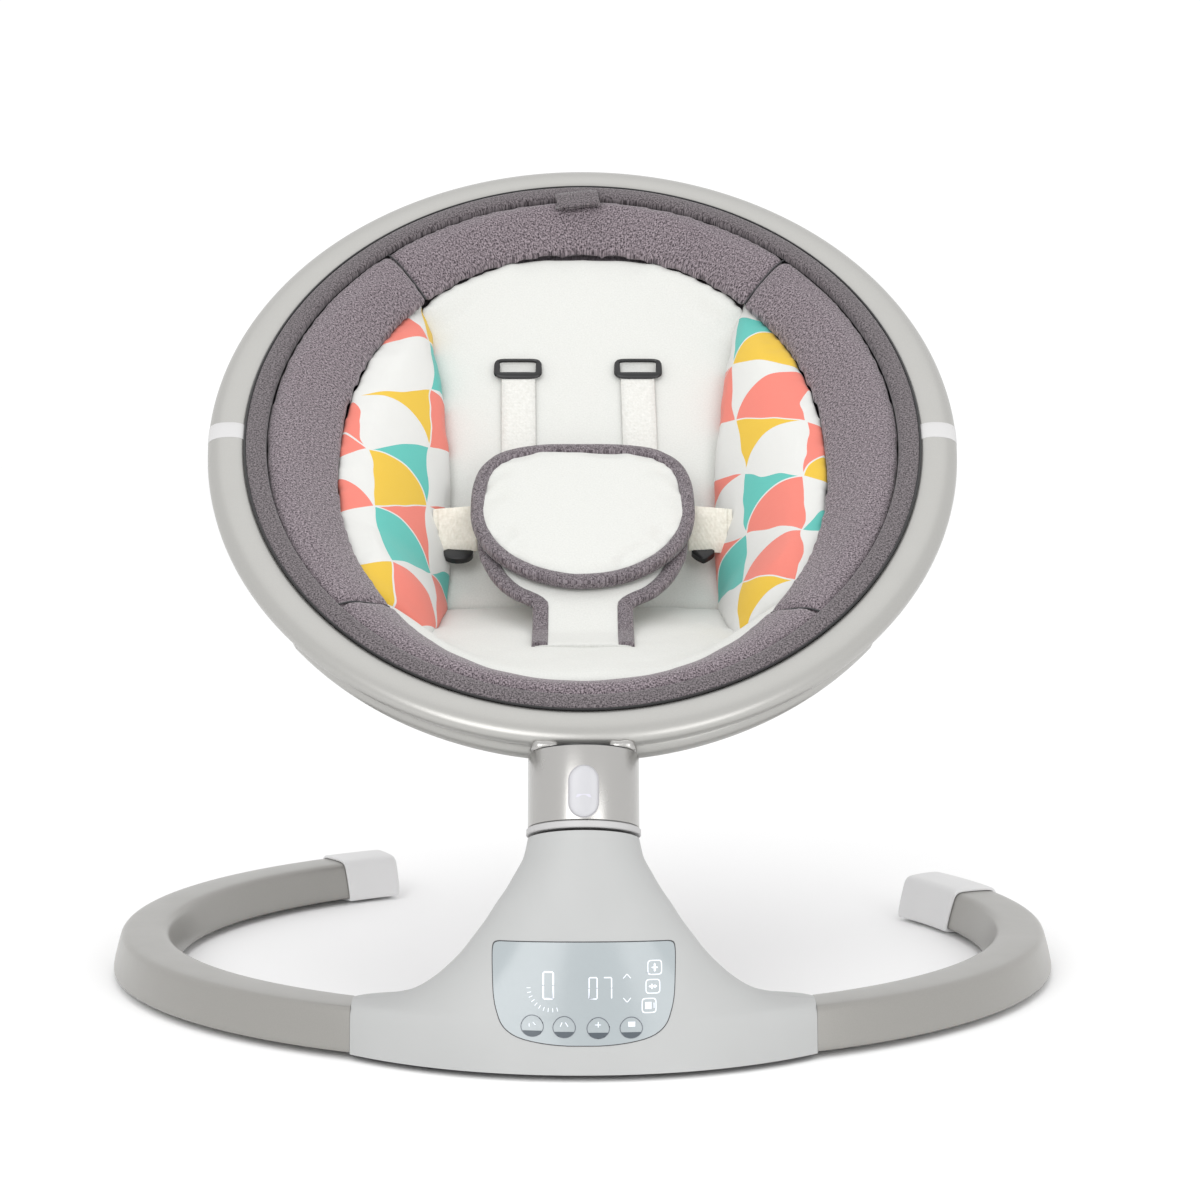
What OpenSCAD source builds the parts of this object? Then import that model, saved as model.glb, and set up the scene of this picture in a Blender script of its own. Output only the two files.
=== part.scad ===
// Electric baby swing on a C-shaped floor base.
// A leaning turret in the hub turns a lift-off seat: an oval tube ring with a padded fabric bucket.
// Frame: X to the right of the seat, Y from the front to the head end, Z up, floor at z = 0. Millimetres.

/* [Base] */
// Width of the C-shaped base tube over its outer bottom edge
base_width = 670; // [500:1:900]
// Depth of the ellipse that the C-shaped tube follows
base_depth = 600; // [450:1:800]
// Width of the base tube at its bottom
tube_foot = 46; // [30:1:70]
// Underside of the base tube above the floor
tube_lift = 4; // [2:0.5:8]
// Height of the base tube
tube_height = 28; // [18:1:40]
// Half width of the hub where it meets the base tubes
hub_half = 145; // [110:1:190]
// Angle past the X axis at which the right arm ends
right_end = 33; // [20:1:60]
// Angle past the X axis at which the left arm ends
left_end = 60; // [20:1:70]
// Wall of the hub shells
hub_wall = 2.5; // [2:0.1:4]

/* [Turret] */
// Backward lean of the turret axis
lean = 20; // [0:1:30]
// Radius of the neck and of the hub's top
neck_r = 35; // [25:0.5:45]
// Height of the silver neck sleeve's top above the hub
neck_top = 53; // [45:1:80]
// Radius of the swing spindle
spindle_r = 7.5; // [5:0.5:12]
// Travel of the release button
button_travel = 3.5; // [2:0.5:5]

/* [Seat ring] */
// Tilt of the seat ring, head end up
ring_tilt = 36; // [20:1:50]
// Half width of the ring along its tube's centre
ring_a = 255.2; // [200:1:300]
// Half length of the ring along its tube's centre
ring_b = 320; // [240:1:360]
// Half width of the flat oval tube, in the ring's plane
oval_w = 14; // [10:0.5:22]
// Half thickness of the flat oval tube
oval_t = 7.5; // [5:0.5:14]
// Wall of the ring tube
ring_wall = 1.6; // [1:0.1:3]

/* [Seat] */
// Depth of the crease between seat and back below the ring's plane
crease_n = 109; // [80:1:130]
// Thickness of the seat and back panels
panel_t = 14; // [8:1:20]
// Width of the harness webbing
webbing = 27; // [20:1:38]

/* [Hidden] */
BA = base_width / 2;
BB = base_depth / 2;
P0 = [0, -238, 133];           // where the turret axis leaves the hub
RC = [0, 40, 387];             // centre of the seat ring
y_mid = 0;                     // shift that centres the whole part on Y
IA = 176.5; IB = 254; IS = -4.4; IM = 2.1; IN = -22;   // inner edge of the grey pads
eps = 0.05;

// ---- helpers ----
function sp(c, m) = sign(c) * pow(abs(c), 2 / m);
function lerp(a, b, t) = a + (b - a) * t;
function rev(v) = [for (i = [len(v) - 1 : -1 : 0]) v[i]];
function unit(v) = v / norm(v);
function mirx(rows, sx) = [for (r = rows) [for (p = r) [sx * p[0], p[1], p[2]]]];
function loop(a, b, m, s0, n, N) =
  [for (i = [0 : N - 1]) let (t = 360 * i / N) [a * sp(cos(t), m), s0 + b * sp(sin(t), m), n]];

// closed solid through a list of point loops, capped at both ends or joined end to end;
// its faces are turned outwards by the sign of its volume
module skin(rows, ring = false) {
  n = len(rows[0]);
  m = len(rows);
  h = n / 2;
  pts = [for (r = rows) for (p = r) p];
  side = [for (i = [0 : ring ? m - 1 : m - 2]) for (j = [0 : n - 1])
    let (k = (i + 1) % m, l = (j + 1) % n, a = i * n + j, b = i * n + l, c = k * n + l, d = k * n + j)
    each [[a, c, b], [a, d, c]]];
  cap0 = [for (j = [0 : h - 2]) let (a = j, b = j + 1, c = n - 2 - j, d = n - 1 - j)
    each [[a, b, c], [a, c, d]]];
  o = (m - 1) * n;
  cap1 = [for (f = cap0) [f[0] + o, f[2] + o, f[1] + o]];
  faces = ring ? side : concat(side, cap0, cap1);
  vols = [for (f = faces) pts[f[0]] * cross(pts[f[1]], pts[f[2]])];
  vol = vols * [for (v = vols) 1];
  polyhedron(points = pts, faces = vol > 0 ? [for (f = faces) [f[0], f[2], f[1]]] : faces);
}

module seat_frame() translate(RC) rotate([ring_tilt, 0, 0]) children();
// z along the turret axis, y to the rear of the hub, zero at the hub's top
module axis_frame() translate(P0) rotate([-lean, 0, 0]) children();
module stadium(w, l) union() {
  translate([0, (l - w) / 2]) circle(d = w, $fn = 36);
  translate([0, -(l - w) / 2]) circle(d = w, $fn = 36);
  square([w, l - w], center = true);
}

// ---- base tube: low rounded trapezoid swept round an ellipse ----
tm = [tube_foot / 2, tube_lift + tube_height / 2];
tube_pts = let (w = tube_foot, h = tube_height, z = tube_lift)
  [[1.5, z], [0, z + 2.5], [5.2, z + h - 5], [6.8, z + h - 1.7], [10, z + h], [w - 12.5, z + h],
   [w - 8.2, z + h - 1.5], [w - 6, z + h - 5], [w, z + 2.5], [w - 1.5, z]];
function tube_sec(g) = [for (p = tube_pts)
  [tm[0] + (p[0] - tm[0]) * (1 + g / 23), tm[1] + (p[1] - tm[1]) * (1 + g / 14)]];
function bnorm(phi) = unit([cos(phi) / BA, sin(phi) / BB]);
// cosine of the angle at which the line r inside the outer edge crosses x
function bcos(x, r, k) = k == 0 ? x / BA :
  let (c = bcos(x, r, k - 1), n = bnorm(acos(c))) (x + r * n[0]) / BA;
function bpt(phi, r, z) = let (n = bnorm(phi)) [BA * cos(phi) - r * n[0], BB * sin(phi) - r * n[1], z];
// rows between the hub's end and an end angle
function hub_rows(g, end, M, x0) = let (s = tube_sec(g))
  [for (k = [0 : M]) [for (p = s) bpt(lerp(-acos(bcos(x0, p[0], 5)), end, k / M), p[0], p[1])]];
function arc_row(g, phi) = [for (p = tube_sec(g)) bpt(phi, p[0], p[1])];

module base_tube(sx, end, M) color("#b4b2ae")
  skin(mirx(concat(hub_rows(0, end - 1, M, hub_half + eps), rev(hub_rows(-2, end - 1, M, hub_half + eps))), sx),
    ring = true);
module base_tube_left() base_tube(-1, left_end, 28);
module base_tube_right() base_tube(1, right_end, 22);

module foot_cap(sx, end, span) color("#d0cfd2")
  skin(mirx(concat(
    [for (k = [0 : 4]) arc_row(0.5, end - 0.8 - (span - 0.8) * k / 4)],
    [for (k = [0 : 4]) arc_row(k == 0 ? 1.8 : 2.3, end - span + (span - 0.7) * k / 4)],
    [arc_row(1.7, end - 0.25), arc_row(0.6, end)]), sx));
module foot_cap_left() foot_cap(-1, left_end, 9.5);
module foot_cap_right() foot_cap(1, right_end, 14.5);

// rubber feet: two under the caps, two under the tubes' sides, two under the hub
module floor_pads() color("#3a3a3a") {
  capz = tm[1] - (tube_height / 2) * (1 + 2.3 / 14);
  for (q = [[-1, left_end - 5, capz], [1, right_end - 5, capz], [-1, -8, tube_lift], [1, -8, tube_lift]])
    let (p = bpt(q[1], 23, 0)) translate([q[0] * p[0], p[1], 0]) cylinder(r = 9, h = q[2] - 0.02, $fn = 40);
  for (x = [-100, 100]) translate([x, -264, 0]) cylinder(r = 9, h = tube_lift + 0.25, $fn = 40);
}

module plug(sx) skin(mirx(hub_rows(-2.4, -45, 5, hub_half + 0.3), sx));
module tube_end_plugs() color("#5c5c60") { plug(-1); plug(1); }

// ---- hub: leaning column that flares into the base tubes ----
// station: height on the axis, half width, roundness, lean of the section, share of the C's bend
HS = [[132.4, 35, 2, 20, 0], [122, 37.5, 2.05, 19, 0.03], [112, 43, 2.1, 17, 0.08],
  [103, 48.5, 2.15, 15, 0.13], [94, 55, 2.2, 13, 0.2], [85, 61, 2.25, 11, 0.27], [76, 68, 2.3, 9, 0.35],
  [66, 76, 2.35, 7, 0.45], [57, 85, 2.4, 5, 0.55], [48, 96, 2.45, 3.5, 0.67], [41, 108, 2.5, 2, 0.78],
  [36.5, 124, 2.5, 1, 0.87], [33.5, 143, 2.5, 0, 0.93], [31, 151, 2.5, 0, 0.97],
  [27, 159, 2.5, 0, 1.03], [16, 170, 2.5, 0, 1.18], [4.05, 181, 2.5, 0, 1.33]];
function hcol(z, k) = lookup(z, [for (s = HS) [s[0], s[k]]]);
function hub_y(x, z, beta) = P0[1] + (z - P0[2]) * tan(lean) + beta * BB * (1 - sqrt(1 - pow(x / BA, 2)));
function hub_d(x, w, n, D) = D * pow(max(0, 1 - pow(abs(x) / w, n)), 1 / n);
// point of a section at x and depth d off its mid line
function hub_pt(x, z, zo, d) = let (t = hcol(z, 3))
  [x, hub_y(x, z, hcol(z, 4)) + d * cos(t), z - zo - d * sin(t)];
function hub_row(s, side) = let (z = s[0], w = s[1], n = s[2], e = hub_wall, Q = 6,
    X = min(w, hub_half), Xi = min(w - e, hub_half - e),
    zi = (z > 130 || z < 6) ? 0 : 2)
  concat([hub_pt(-X, z, 0, side * 0.1)],
    [for (i = [-Q : Q]) let (x = X * sin(87 * i / Q)) hub_pt(x, z, 0, side * max(hub_d(x, w, n, neck_r), 0.4))],
    [hub_pt(X, z, 0, side * 0.1), hub_pt(Xi, z, zi, side * 0.1)],
    [for (i = [Q : -1 : -Q]) let (x = Xi * sin(87 * i / Q))
      hub_pt(x, z, zi, side * max(hub_d(x, w - e, n, neck_r - e), 0.3))],
    [hub_pt(-Xi, z, zi, side * 0.1)]);
module hub_shell(side) skin([for (s = HS) hub_row(s, side)]);

// face of the display on the hub's front: height, half width
LS = [[74.1, 52.5], [72.6, 55], [68, 55.7], [56, 55.2], [48, 53.4], [41, 50], [34, 43.5], [28, 34.5], [23.5, 24], [20.8, 13]];
function face_row(z, hw, o, i) = let (w = hcol(z, 1), n = hcol(z, 2))
  concat([for (q = [-5 : 5]) let (x = hw * q / 5) hub_pt(x, z, 0, -hub_d(x, w, n, neck_r) - o)],
    [for (q = [5 : -1 : -5]) let (x = hw * q / 5) hub_pt(x, z, 0, -hub_d(x, w, n, neck_r) + i)]);
module hub_front_shell() color("#d3d3d1") difference() {
  hub_shell(-1);
  skin(concat([face_row(74.7, 52.7, 5, 8)], [for (s = LS) face_row(s[0], s[1] + 0.5, 5, 8)],
    [face_row(20.2, 13, 5, 8)]));
}
module hub_rear_shell() color("#d3d3d1") difference() {
  hub_shell(1);
  translate([62, -200, 22]) rotate([90, 0, 0]) cylinder(r = 6.15, h = 60, $fn = 48);
}
module display_lens() color("#c3cbd0") skin([for (s = LS) face_row(s[0], s[1], 0.3, 1.9)]);

module hub_bottom_plate() color("#8a8a8c")
  skin([for (k = [-7 : 7]) let (x = 20.2 * k, D = hub_d(x, 181, 2.5, 35) - 4.6,
      y = hub_y(x, 4.5, 1.33))
    [[x, y - D, tube_lift + 0.3], [x, y + D, tube_lift + 0.3], [x, y + D, tube_lift + 3.2], [x, y - D, tube_lift + 3.2]]]);
module hub_screws() color("#9a9a9c") for (x = [-45, -37, 80, 94])
  translate([x, -282 + x * x / 480, tube_lift + 3.25]) {
    cylinder(r = 3.2, h = 2.2, $fn = 28);
    translate([0, 0, 2.2]) cylinder(r1 = 3.2, r2 = 2, h = 0.8, $fn = 28);
  }

// boards, speaker and power socket inside the hub
module display_board() color("#2f6b46") translate([0, -295, 50]) rotate([-lean, 0, 0])
  translate([-38, -0.8, -26]) cube([76, 1.6, 50]);
module main_board() color("#2f6b46") {
  translate([-128, -275, tube_lift + 8.3]) cube([52, 30, 1.6]);
  translate([-120, -270, tube_lift + 9.9]) cube([14, 18, 8]);
  translate([-98, -268, tube_lift + 9.9]) cube([16, 14, 5]);
  for (x = [-124, -80]) for (y = [-271, -249]) translate([x, y, tube_lift + 3.25]) cylinder(r = 2.5, h = 5.05, $fn = 24);
}
module speaker() color("#303032") translate([-62, -268, tube_lift + 3.3]) {
  cylinder(r = 15, h = 3, $fn = 48);
  translate([0, 0, 3]) cylinder(r1 = 15, r2 = 8, h = 8, $fn = 48);
  translate([0, 0, 11]) cylinder(r = 8, h = 6, $fn = 40);
}
// power socket: barrel with a centre pin, facing the rear
module dc_inlet() color("#202022") translate([62, -238.4, 22]) rotate([90, 0, 0]) difference() {
  union() {
    cylinder(r = 6, h = 15, $fn = 48);
    translate([-7, -7, 13]) cube([14, 14, 8]);
  }
  translate([0, 0, -1]) difference() {
    cylinder(r = 2.8, h = 11, $fn = 40);
    translate([0, 0, 2.5]) cylinder(r = 1.05, h = 10, $fn = 24);
  }
}

// ---- drive and bearings, along the leaning axis ----
module coil_post() color("#6d6d70") {
  difference() {
    axis_frame() translate([46, 0, -122]) cylinder(r = 6, h = 33.9, $fn = 36);
    translate([24, -320, -20]) cube([50, 120, 20 + tube_lift + 3.25]);
  }
  translate([34, -292, tube_lift + 3.25]) cube([24, 20, 3]);
}
module drive_coil() color("#b06a35") axis_frame() translate([46, 0, -88])
  rotate_extrude($fn = 60) translate([5, 0]) square([9, 8]);
module bearing_carrier() color("#77787b") {
  axis_frame() difference() {
    union() {
      translate([0, 0, -112]) cylinder(r = 20, h = 111, $fn = 72);
      translate([0, 0, -4]) cylinder(r = 32, h = 3, $fn = 72);
    }
    translate([0, 0, -113]) cylinder(r = 12, h = 120, $fn = 60);
    translate([0, 0, -91.9]) cylinder(r = 15, h = 76, $fn = 60);
    translate([0, 0, -15.2]) cylinder(r = 16.02, h = 9.4, $fn = 60);
    translate([0, 0, -101.1]) cylinder(r = 16.02, h = 9.4, $fn = 60);
    translate([0, 0, -103.5]) cylinder(r = 12.5, h = 3, $fn = 60);
    translate([4, -13, -79]) cube([30, 26, 16]);
  }
  difference() {
    translate([-26, -300, tube_lift + 3.25]) cube([52, 38, 20]);
    axis_frame() translate([0, 0, -130]) cylinder(r = 20, h = 40, $fn = 72);
  }
}
module bearing(t) color("#c9ccd0") axis_frame() translate([0, 0, t]) difference() {
  cylinder(r = 16, h = 9, $fn = 60);
  translate([0, 0, -1]) cylinder(r = spindle_r + 0.03, h = 11, $fn = 60);
  for (z = [-0.5, 8.5]) translate([0, 0, z]) difference() {
    cylinder(r = 13.5, h = 1, $fn = 60);
    translate([0, 0, -1]) cylinder(r = 10, h = 3, $fn = 60);
  }
}
module bearing_upper() bearing(-15);
module bearing_lower() bearing(-100.9);

module swing_spindle() color("#bfc2c6") axis_frame() {
  translate([0, 0, -104]) cylinder(r = spindle_r, h = 148, $fn = 60);
  translate([0, 0, 44]) cylinder(r1 = spindle_r, r2 = spindle_r - 1, h = 1, $fn = 60);
  translate([0, 0, -5.9]) cylinder(r = 10, h = 7, $fn = 60);
}
module spindle_clip() color("#4a4a4c") axis_frame() translate([0, 0, -103]) difference() {
  cylinder(r = 11, h = 2, $fn = 48);
  translate([0, 0, -1]) cylinder(r = spindle_r + 0.02, h = 4, $fn = 48);
}
module magnet_arm() color("#8f9296") axis_frame() translate([0, 0, -73]) difference() {
  union() {
    cylinder(r = 11, h = 8, $fn = 48);
    translate([8, -5, 0]) cube([38, 10, 4]);
    translate([46, 0, 0]) cylinder(r = 9, h = 4, $fn = 48);
  }
  translate([0, 0, -1]) cylinder(r = spindle_r + 0.02, h = 12, $fn = 60);
}
module drive_magnet() color("#d7d9dc") axis_frame() translate([46, 0, -78.05]) cylinder(r = 9, h = 5, $fn = 48);
module turret_collar() color("#e2e1df") axis_frame() difference() {
  union() {
    translate([0, 0, 1.2]) cylinder(r = neck_r + 1, h = 4.4, $fn = 96);
    for (x = [-20, 20]) translate([x, 0, 5]) cylinder(r = 3, h = 11, $fn = 36);
  }
  translate([0, 0, 0]) cylinder(r = spindle_r + 0.02, h = 20, $fn = 60);
}

// ---- neck: lifts off the spindle with the seat ----
module neck_sleeve() color("#cfcfcc") axis_frame() difference() {
  translate([0, 0, 5.9]) cylinder(r = neck_r, h = neck_top - 5.9, $fn = 96);
  translate([0, 0, 0]) cylinder(r = neck_r - 1.5, h = 100, $fn = 96);
  translate([0, 0, 23.6]) rotate([90, 0, 0]) linear_extrude(60) stadium(18.8, 32.8);
}
module neck_core() color("#46464a") axis_frame() difference() {
  translate([0, 0, 5.9]) cylinder(r = neck_r - 1.55, h = 43.9, $fn = 96);
  translate([0, 0, 0]) cylinder(r = spindle_r + 0.05, h = 46, $fn = 60);
  translate([0, -18, 23.6]) rotate([90, 0, 0]) linear_extrude(20) stadium(18.8, 32.8);
  translate([-5.2, -19, 23.4]) cube([10.4, 14, 6.4]);
  for (x = [-20, 20]) translate([x, 0, 0]) cylinder(r = 3.1, h = 17, $fn = 36);
}
module latch_pawl() color("#8f9296") axis_frame() translate([-5, -23.7, 23.6]) cube([10, 15.8, 6]);
module latch_spring() color("#b9bcc0") axis_frame() translate([0, -18.15, 14.4]) rotate([90, 0, 0])
  difference() {
    cylinder(r = 4, h = 5.6, $fn = 36);
    translate([0, 0, -1]) cylinder(r = 2.9, h = 8, $fn = 36);
  }
module release_button() color("#dcdbe8") axis_frame() intersection() {
  translate([0, -27.6, 23.6]) rotate([90, 0, 0]) linear_extrude(20) stadium(18, 32);
  cylinder(r = neck_r + 1.4, h = 80, $fn = 120);
}
// welded top of the neck: a disc with two cheeks that carry the ring tube
module neck_saddle() color("#bdbdba") axis_frame() {
  translate([0, 0, 49.9]) cylinder(r = neck_r - 1.55, h = neck_top - 49.9, $fn = 96);
  for (x = [-31, 15]) translate([x, -11, neck_top - 0.1]) cube([16, 22, 12.5]);
}

// ---- seat ring ----
function oval(w, t) = [for (j = [0 : 11]) let (a = 15 + 30 * j) [w * sp(cos(a), 2.4), t * sp(sin(a), 2.4)]];
function rrow(th, sec, dn = 0) = let (c = cos(th), s = sin(th), n = unit([c / ring_a, s / ring_b]))
  [for (q = sec) [ring_a * c + n[0] * q[0], ring_b * s + n[1] * q[0], q[1] + dn]];
function th_s(s) = asin(s / ring_b);
js = [-9.5, -27];            // edges of the light joint bands along the ring
module ring_half(t0, t1) color("#c8c8c4") seat_frame() skin(concat(
    [for (k = [0 : 32]) rrow(lerp(t0, t1, k / 32), oval(oval_w, oval_t))],
    [for (k = [32 : -1 : 0]) rrow(lerp(t0, t1, k / 32), oval(oval_w - ring_wall, oval_t - ring_wall))]),
  ring = true);
module ring_tube_upper() ring_half(th_s(js[0] + eps), 180 - th_s(js[0] + eps));
module ring_tube_lower() ring_half(th_s(js[1] - eps), -180 - th_s(js[1] - eps));
module ring_joint(sx) color("#f4f4f2") seat_frame() {
  big = oval(oval_w + 0.25, oval_t + 0.25);
  pin = oval(oval_w - ring_wall - 0.9, oval_t - ring_wall - 0.7);
  r = [rrow(th_s(js[0] + 22), pin), rrow(th_s(js[0]), pin), rrow(th_s(js[0]), big),
    rrow(th_s(js[1]), big), rrow(th_s(js[1]), pin), rrow(th_s(js[1] - 22), pin)];
  skin(mirx(r, sx));
}
module ring_joint_left() ring_joint(-1);
module ring_joint_right() ring_joint(1);
// thinner tube under the front half, welded to the ring at its outer end
module support_tube(sx) color("#bcbcb8") seat_frame() skin(mirx(concat(
    [for (k = [0 : 12]) let (f = k / 12) rrow(lerp(-84.5, -41.5, f), oval(8, 8), lerp(-17, -13.2, f * f))],
    [for (k = [12 : -1 : 0]) let (f = k / 12) rrow(lerp(-84.5, -41.5, f), oval(6.6, 6.6), lerp(-17, -13.2, f * f))]),
  sx), ring = true);
module support_tube_left() support_tube(-1);
module support_tube_right() support_tube(1);

// ---- fabric seat ----
module band(sec, N) seat_frame() skin([for (k = [0 : N - 1]) rrow(360 * k / N, sec)], ring = true);
module rim_carrier() color("#2c2c2e") band([[-27.4, -7.2], [-14.4, -7.2], [-14.4, -0.4], [-27.4, -0.4]], 48);
module rim_binding() color("#5d565b")
  band([[-27.4, -0.2], [-14.5, -0.2], [-14.8, 5], [-17, 7], [-25, 7], [-27.1, 4.5]], 48);

// one quarter of the padded rim, between two angles
function pad_row(t) = let (ro = rrow(t, [[-27.8, 0]])[0], ri = [IA * sp(cos(t), IM), IS + IB * sp(sin(t), IM), 0])
  concat([for (q = [[0, 2], [0.2, 4.2], [0.5, -1], [0.8, -10], [1, -18.5]])
      [lerp(ro[0], ri[0], q[0]), lerp(ro[1], ri[1], q[0]), q[1]]],
    [for (q = [[1, -24], [0.75, -21], [0.5, -16], [0.25, -12], [0, -7.4]])
      [lerp(ro[0], ri[0], q[0]), lerp(ro[1], ri[1], q[0]), q[1]]]);
module pad(t0, t1) color("#7d757a") seat_frame()
  skin([for (k = [0 : 12]) pad_row(lerp(t0 + 0.08, t1 - 0.08, k / 12))]);
module pad_top() pad(45, 133);
module pad_left() pad(133, 223);
module pad_bottom() pad(223, 315);
module pad_right() pad(315, 405);

function inner_w(s) = IA * pow(max(0, 1 - pow(abs(s - IS) / IB, IM)), 1 / IM);
function back_n(s) = IN - (crease_n + IN) * (250 - s) / 328;
function seat_n(s) = -crease_n + (crease_n - 20) * (-80 - s) / 173;
function side_w(s) = s > 0 ? 97 + 29 * pow(s / 222, 1.6) : 97 + 4 * pow(-s / 134, 2);
function panel_row(s, w, n, t) = concat(
  [for (i = [-5 : 2 : 5]) [w * i / 5, s, n + 2 * (1 - i * i / 25) - (abs(i) == 5 ? 2.5 : 0)]],
  [for (i = [5 : -2 : -5]) [w * i / 5, s, n - t + (abs(i) == 5 ? 2 : 0)]]);
module back_panel() color("#eeefeb") seat_frame() skin(
  [for (s = [-76, -40, 0, 40, 80, 120, 150, 178, 200, 218, 233, 244])
    panel_row(s, min(side_w(s), inner_w(s) - 1.7), back_n(s), panel_t - 6 * pow(max(0, s) / 244, 3))]);
module seat_panel() color("#eeefeb") seat_frame() skin(
  [for (s = [-80, -105, -130, -155, -180, -203, -222, -237, -248, -254])
    panel_row(s, min(side_w(s), inner_w(s) - 1.7), seat_n(s), panel_t - 6 * pow(s / -254, 4))]);

function bolster_row(s) = let (uo = inner_w(s) - 1.8, ui = side_w(s) + 0.6,
    nd = s > -78 ? back_n(s) : seat_n(s), na = -25.5, k = min(1, (uo - ui) / 60),
    m = [(uo + ui) / 2, (na + nd) / 2], d = unit([uo - ui, na - nd]), b = [-d[1], d[0]])
  [for (q = concat([[uo, na]],
      [for (f = [[0.75, 8], [0.5, 12], [0.25, 9]])
        [lerp(ui, uo, f[0]), lerp(nd, na, f[0])] + b * f[1] * k],
      [[ui, nd + 1], [ui + 3 * k, nd - 10], m + [8 * k, -13 * k - 3], [uo + 0.8, na - 9]]))
    [q[0], s, q[1]]];
module bolster(sx) color("#f2b9a5") seat_frame()
  skin(mirx([for (s = [-168, -150, -120, -80, -40, 0, 40, 80, 115, 145, 168, 182]) bolster_row(s)], sx));
module bolster_left() bolster(-1);
module bolster_right() bolster(1);

// outer fabric shell under the panels
BS = [[-8, 229.6, 294.2, 0], [-24, 226, 276, -2], [-42, 219, 252, -8], [-60, 208, 222, -20],
  [-80, 190, 178, -42], [-102, 164, 132, -62], [-122, 130, 92, -74], [-134, 84, 52, -78], [-138, 30, 18, -78]];
module seat_bag() color("#6f686d") seat_frame() skin(concat(
  [for (i = [len(BS) - 1 : -1 : 0]) let (b = BS[i])
    loop(b[1] - 1.6, b[2] - 1.6, 2, b[3], b[0] + (i == 0 ? 0 : 1.6), 32)],
  [for (b = BS) loop(b[1], b[2], 2, b[3], b[0], 32)]));

// harness: padded oval over a crotch piece that rises from the seat
module harness_pad() color("#f4f4f0") seat_frame() skin([for (q = [[-58, 0.94], [-55.5, 1], [-49, 1], [-46, 0.93]])
  loop(81.5 * q[1], 83 * q[1], 2.3, -40, q[0], 32)]);
module crotch_piece() color("#f0f0ec") seat_frame() skin(
  [for (q = [[-189, 35, -50, 4], [-180, 35, -54.6, 4.5], [-170, 35, -59.8, 5], [-160, 35, -64.4, 6], [-150, 35, -65.3, 6.5],
      [-132, 35, -65.3, 6.5], [-126, 40, -65.3, 6.5], [-118, 52, -65.3, 6.5], [-106, 62, -65.3, 6.5],
      [-92, 69, -65.3, 6.5], [-72, 75, -65.3, 6.5], [-40, 76, -65.3, 6.5], [-10, 71, -65.3, 6.5], [25, 46, -65.3, 6.5]])
    [[-q[1], q[0], q[2]], [q[1], q[0], q[2]], [q[1], q[0], q[2] + q[3]], [-q[1], q[0], q[2] + q[3]]]]);
module shoulder_straps() color("#f2f1ea") seat_frame() for (u = [-47, 43])
  skin([for (s = [20, 50, 80, 105, 122.5]) let (n = back_n(s) + 2.6) [[u - webbing / 2, s, n],
    [u + webbing / 2, s, n], [u + webbing / 2, s, n + 1.6], [u - webbing / 2, s, n + 1.6]]]);
module strap_guides() color("#232325") seat_frame() for (u = [-50, 43])
  translate([u, 132.5, back_n(132.5) + 2.4]) rotate([15, 0, 0]) difference() {
    translate([-18.5, -8.5, 0]) cube([37, 17, 3.5]);
    translate([-14, -4.5, -1]) cube([28, 9, 6]);
  }
module waist_straps() color("#ece8d8") seat_frame() for (sx = [-1, 1])
  skin(mirx([for (q = [[102, -31, -69], [95, -31, -67], [88, -31, -66], [82.4, -31, -66]]) let (a = webbing / 2)
    [[q[0], q[1] - 0.66 * a, q[2] - 0.75 * a], [q[0], q[1] + 0.66 * a, q[2] + 0.75 * a],
     [q[0], q[1] + 0.66 * a - 3, q[2] + 0.75 * a + 2.6], [q[0], q[1] - 0.66 * a - 3, q[2] - 0.75 * a + 2.6]]], sx));
module waist_adjusters() color("#232325") seat_frame() for (sx = [-1, 1])
  translate([sx * 91 - 11, -58, -86]) cube([22, 12, 6]);
module top_loop() color("#5d565b") seat_frame()
  skin([for (u = [-24, -15, -5, 5, 14]) let (n = 7.4 + 2 * (1 - pow((u + 5) / 19, 2)))
    [[u, 279, n], [u, 298, n], [u, 298, n + 1.5], [u, 279, n + 1.5]]]);

module place() translate([0, y_mid, 0]) children();
place() base_tube_left();
place() base_tube_right();
place() foot_cap_left();
place() foot_cap_right();
place() floor_pads();
place() tube_end_plugs();
place() hub_front_shell();
place() hub_rear_shell();
place() hub_bottom_plate();
place() hub_screws();
place() display_lens();
place() display_board();
place() main_board();
place() speaker();
place() dc_inlet();
place() coil_post();
place() drive_coil();
place() bearing_carrier();
place() bearing_upper();
place() bearing_lower();
place() swing_spindle();
place() spindle_clip();
place() magnet_arm();
place() drive_magnet();
place() turret_collar();
place() neck_sleeve();
place() neck_core();
place() neck_saddle();
place() latch_pawl();
place() latch_spring();
place() release_button();
place() ring_tube_upper();
place() ring_tube_lower();
place() ring_joint_left();
place() ring_joint_right();
place() support_tube_left();
place() support_tube_right();
place() rim_carrier();
place() rim_binding();
place() pad_top();
place() pad_left();
place() pad_right();
place() pad_bottom();
place() back_panel();
place() seat_panel();
place() bolster_left();
place() bolster_right();
place() seat_bag();
place() harness_pad();
place() crotch_piece();
place() shoulder_straps();
place() strap_guides();
place() waist_straps();
place() waist_adjusters();
place() top_loop();
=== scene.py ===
# Electric baby swing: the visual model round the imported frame. Metres in Blender; the shape tables are in millimetres.
import math

import bmesh
import bpy
from mathutils import Matrix, Vector, noise


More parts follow.
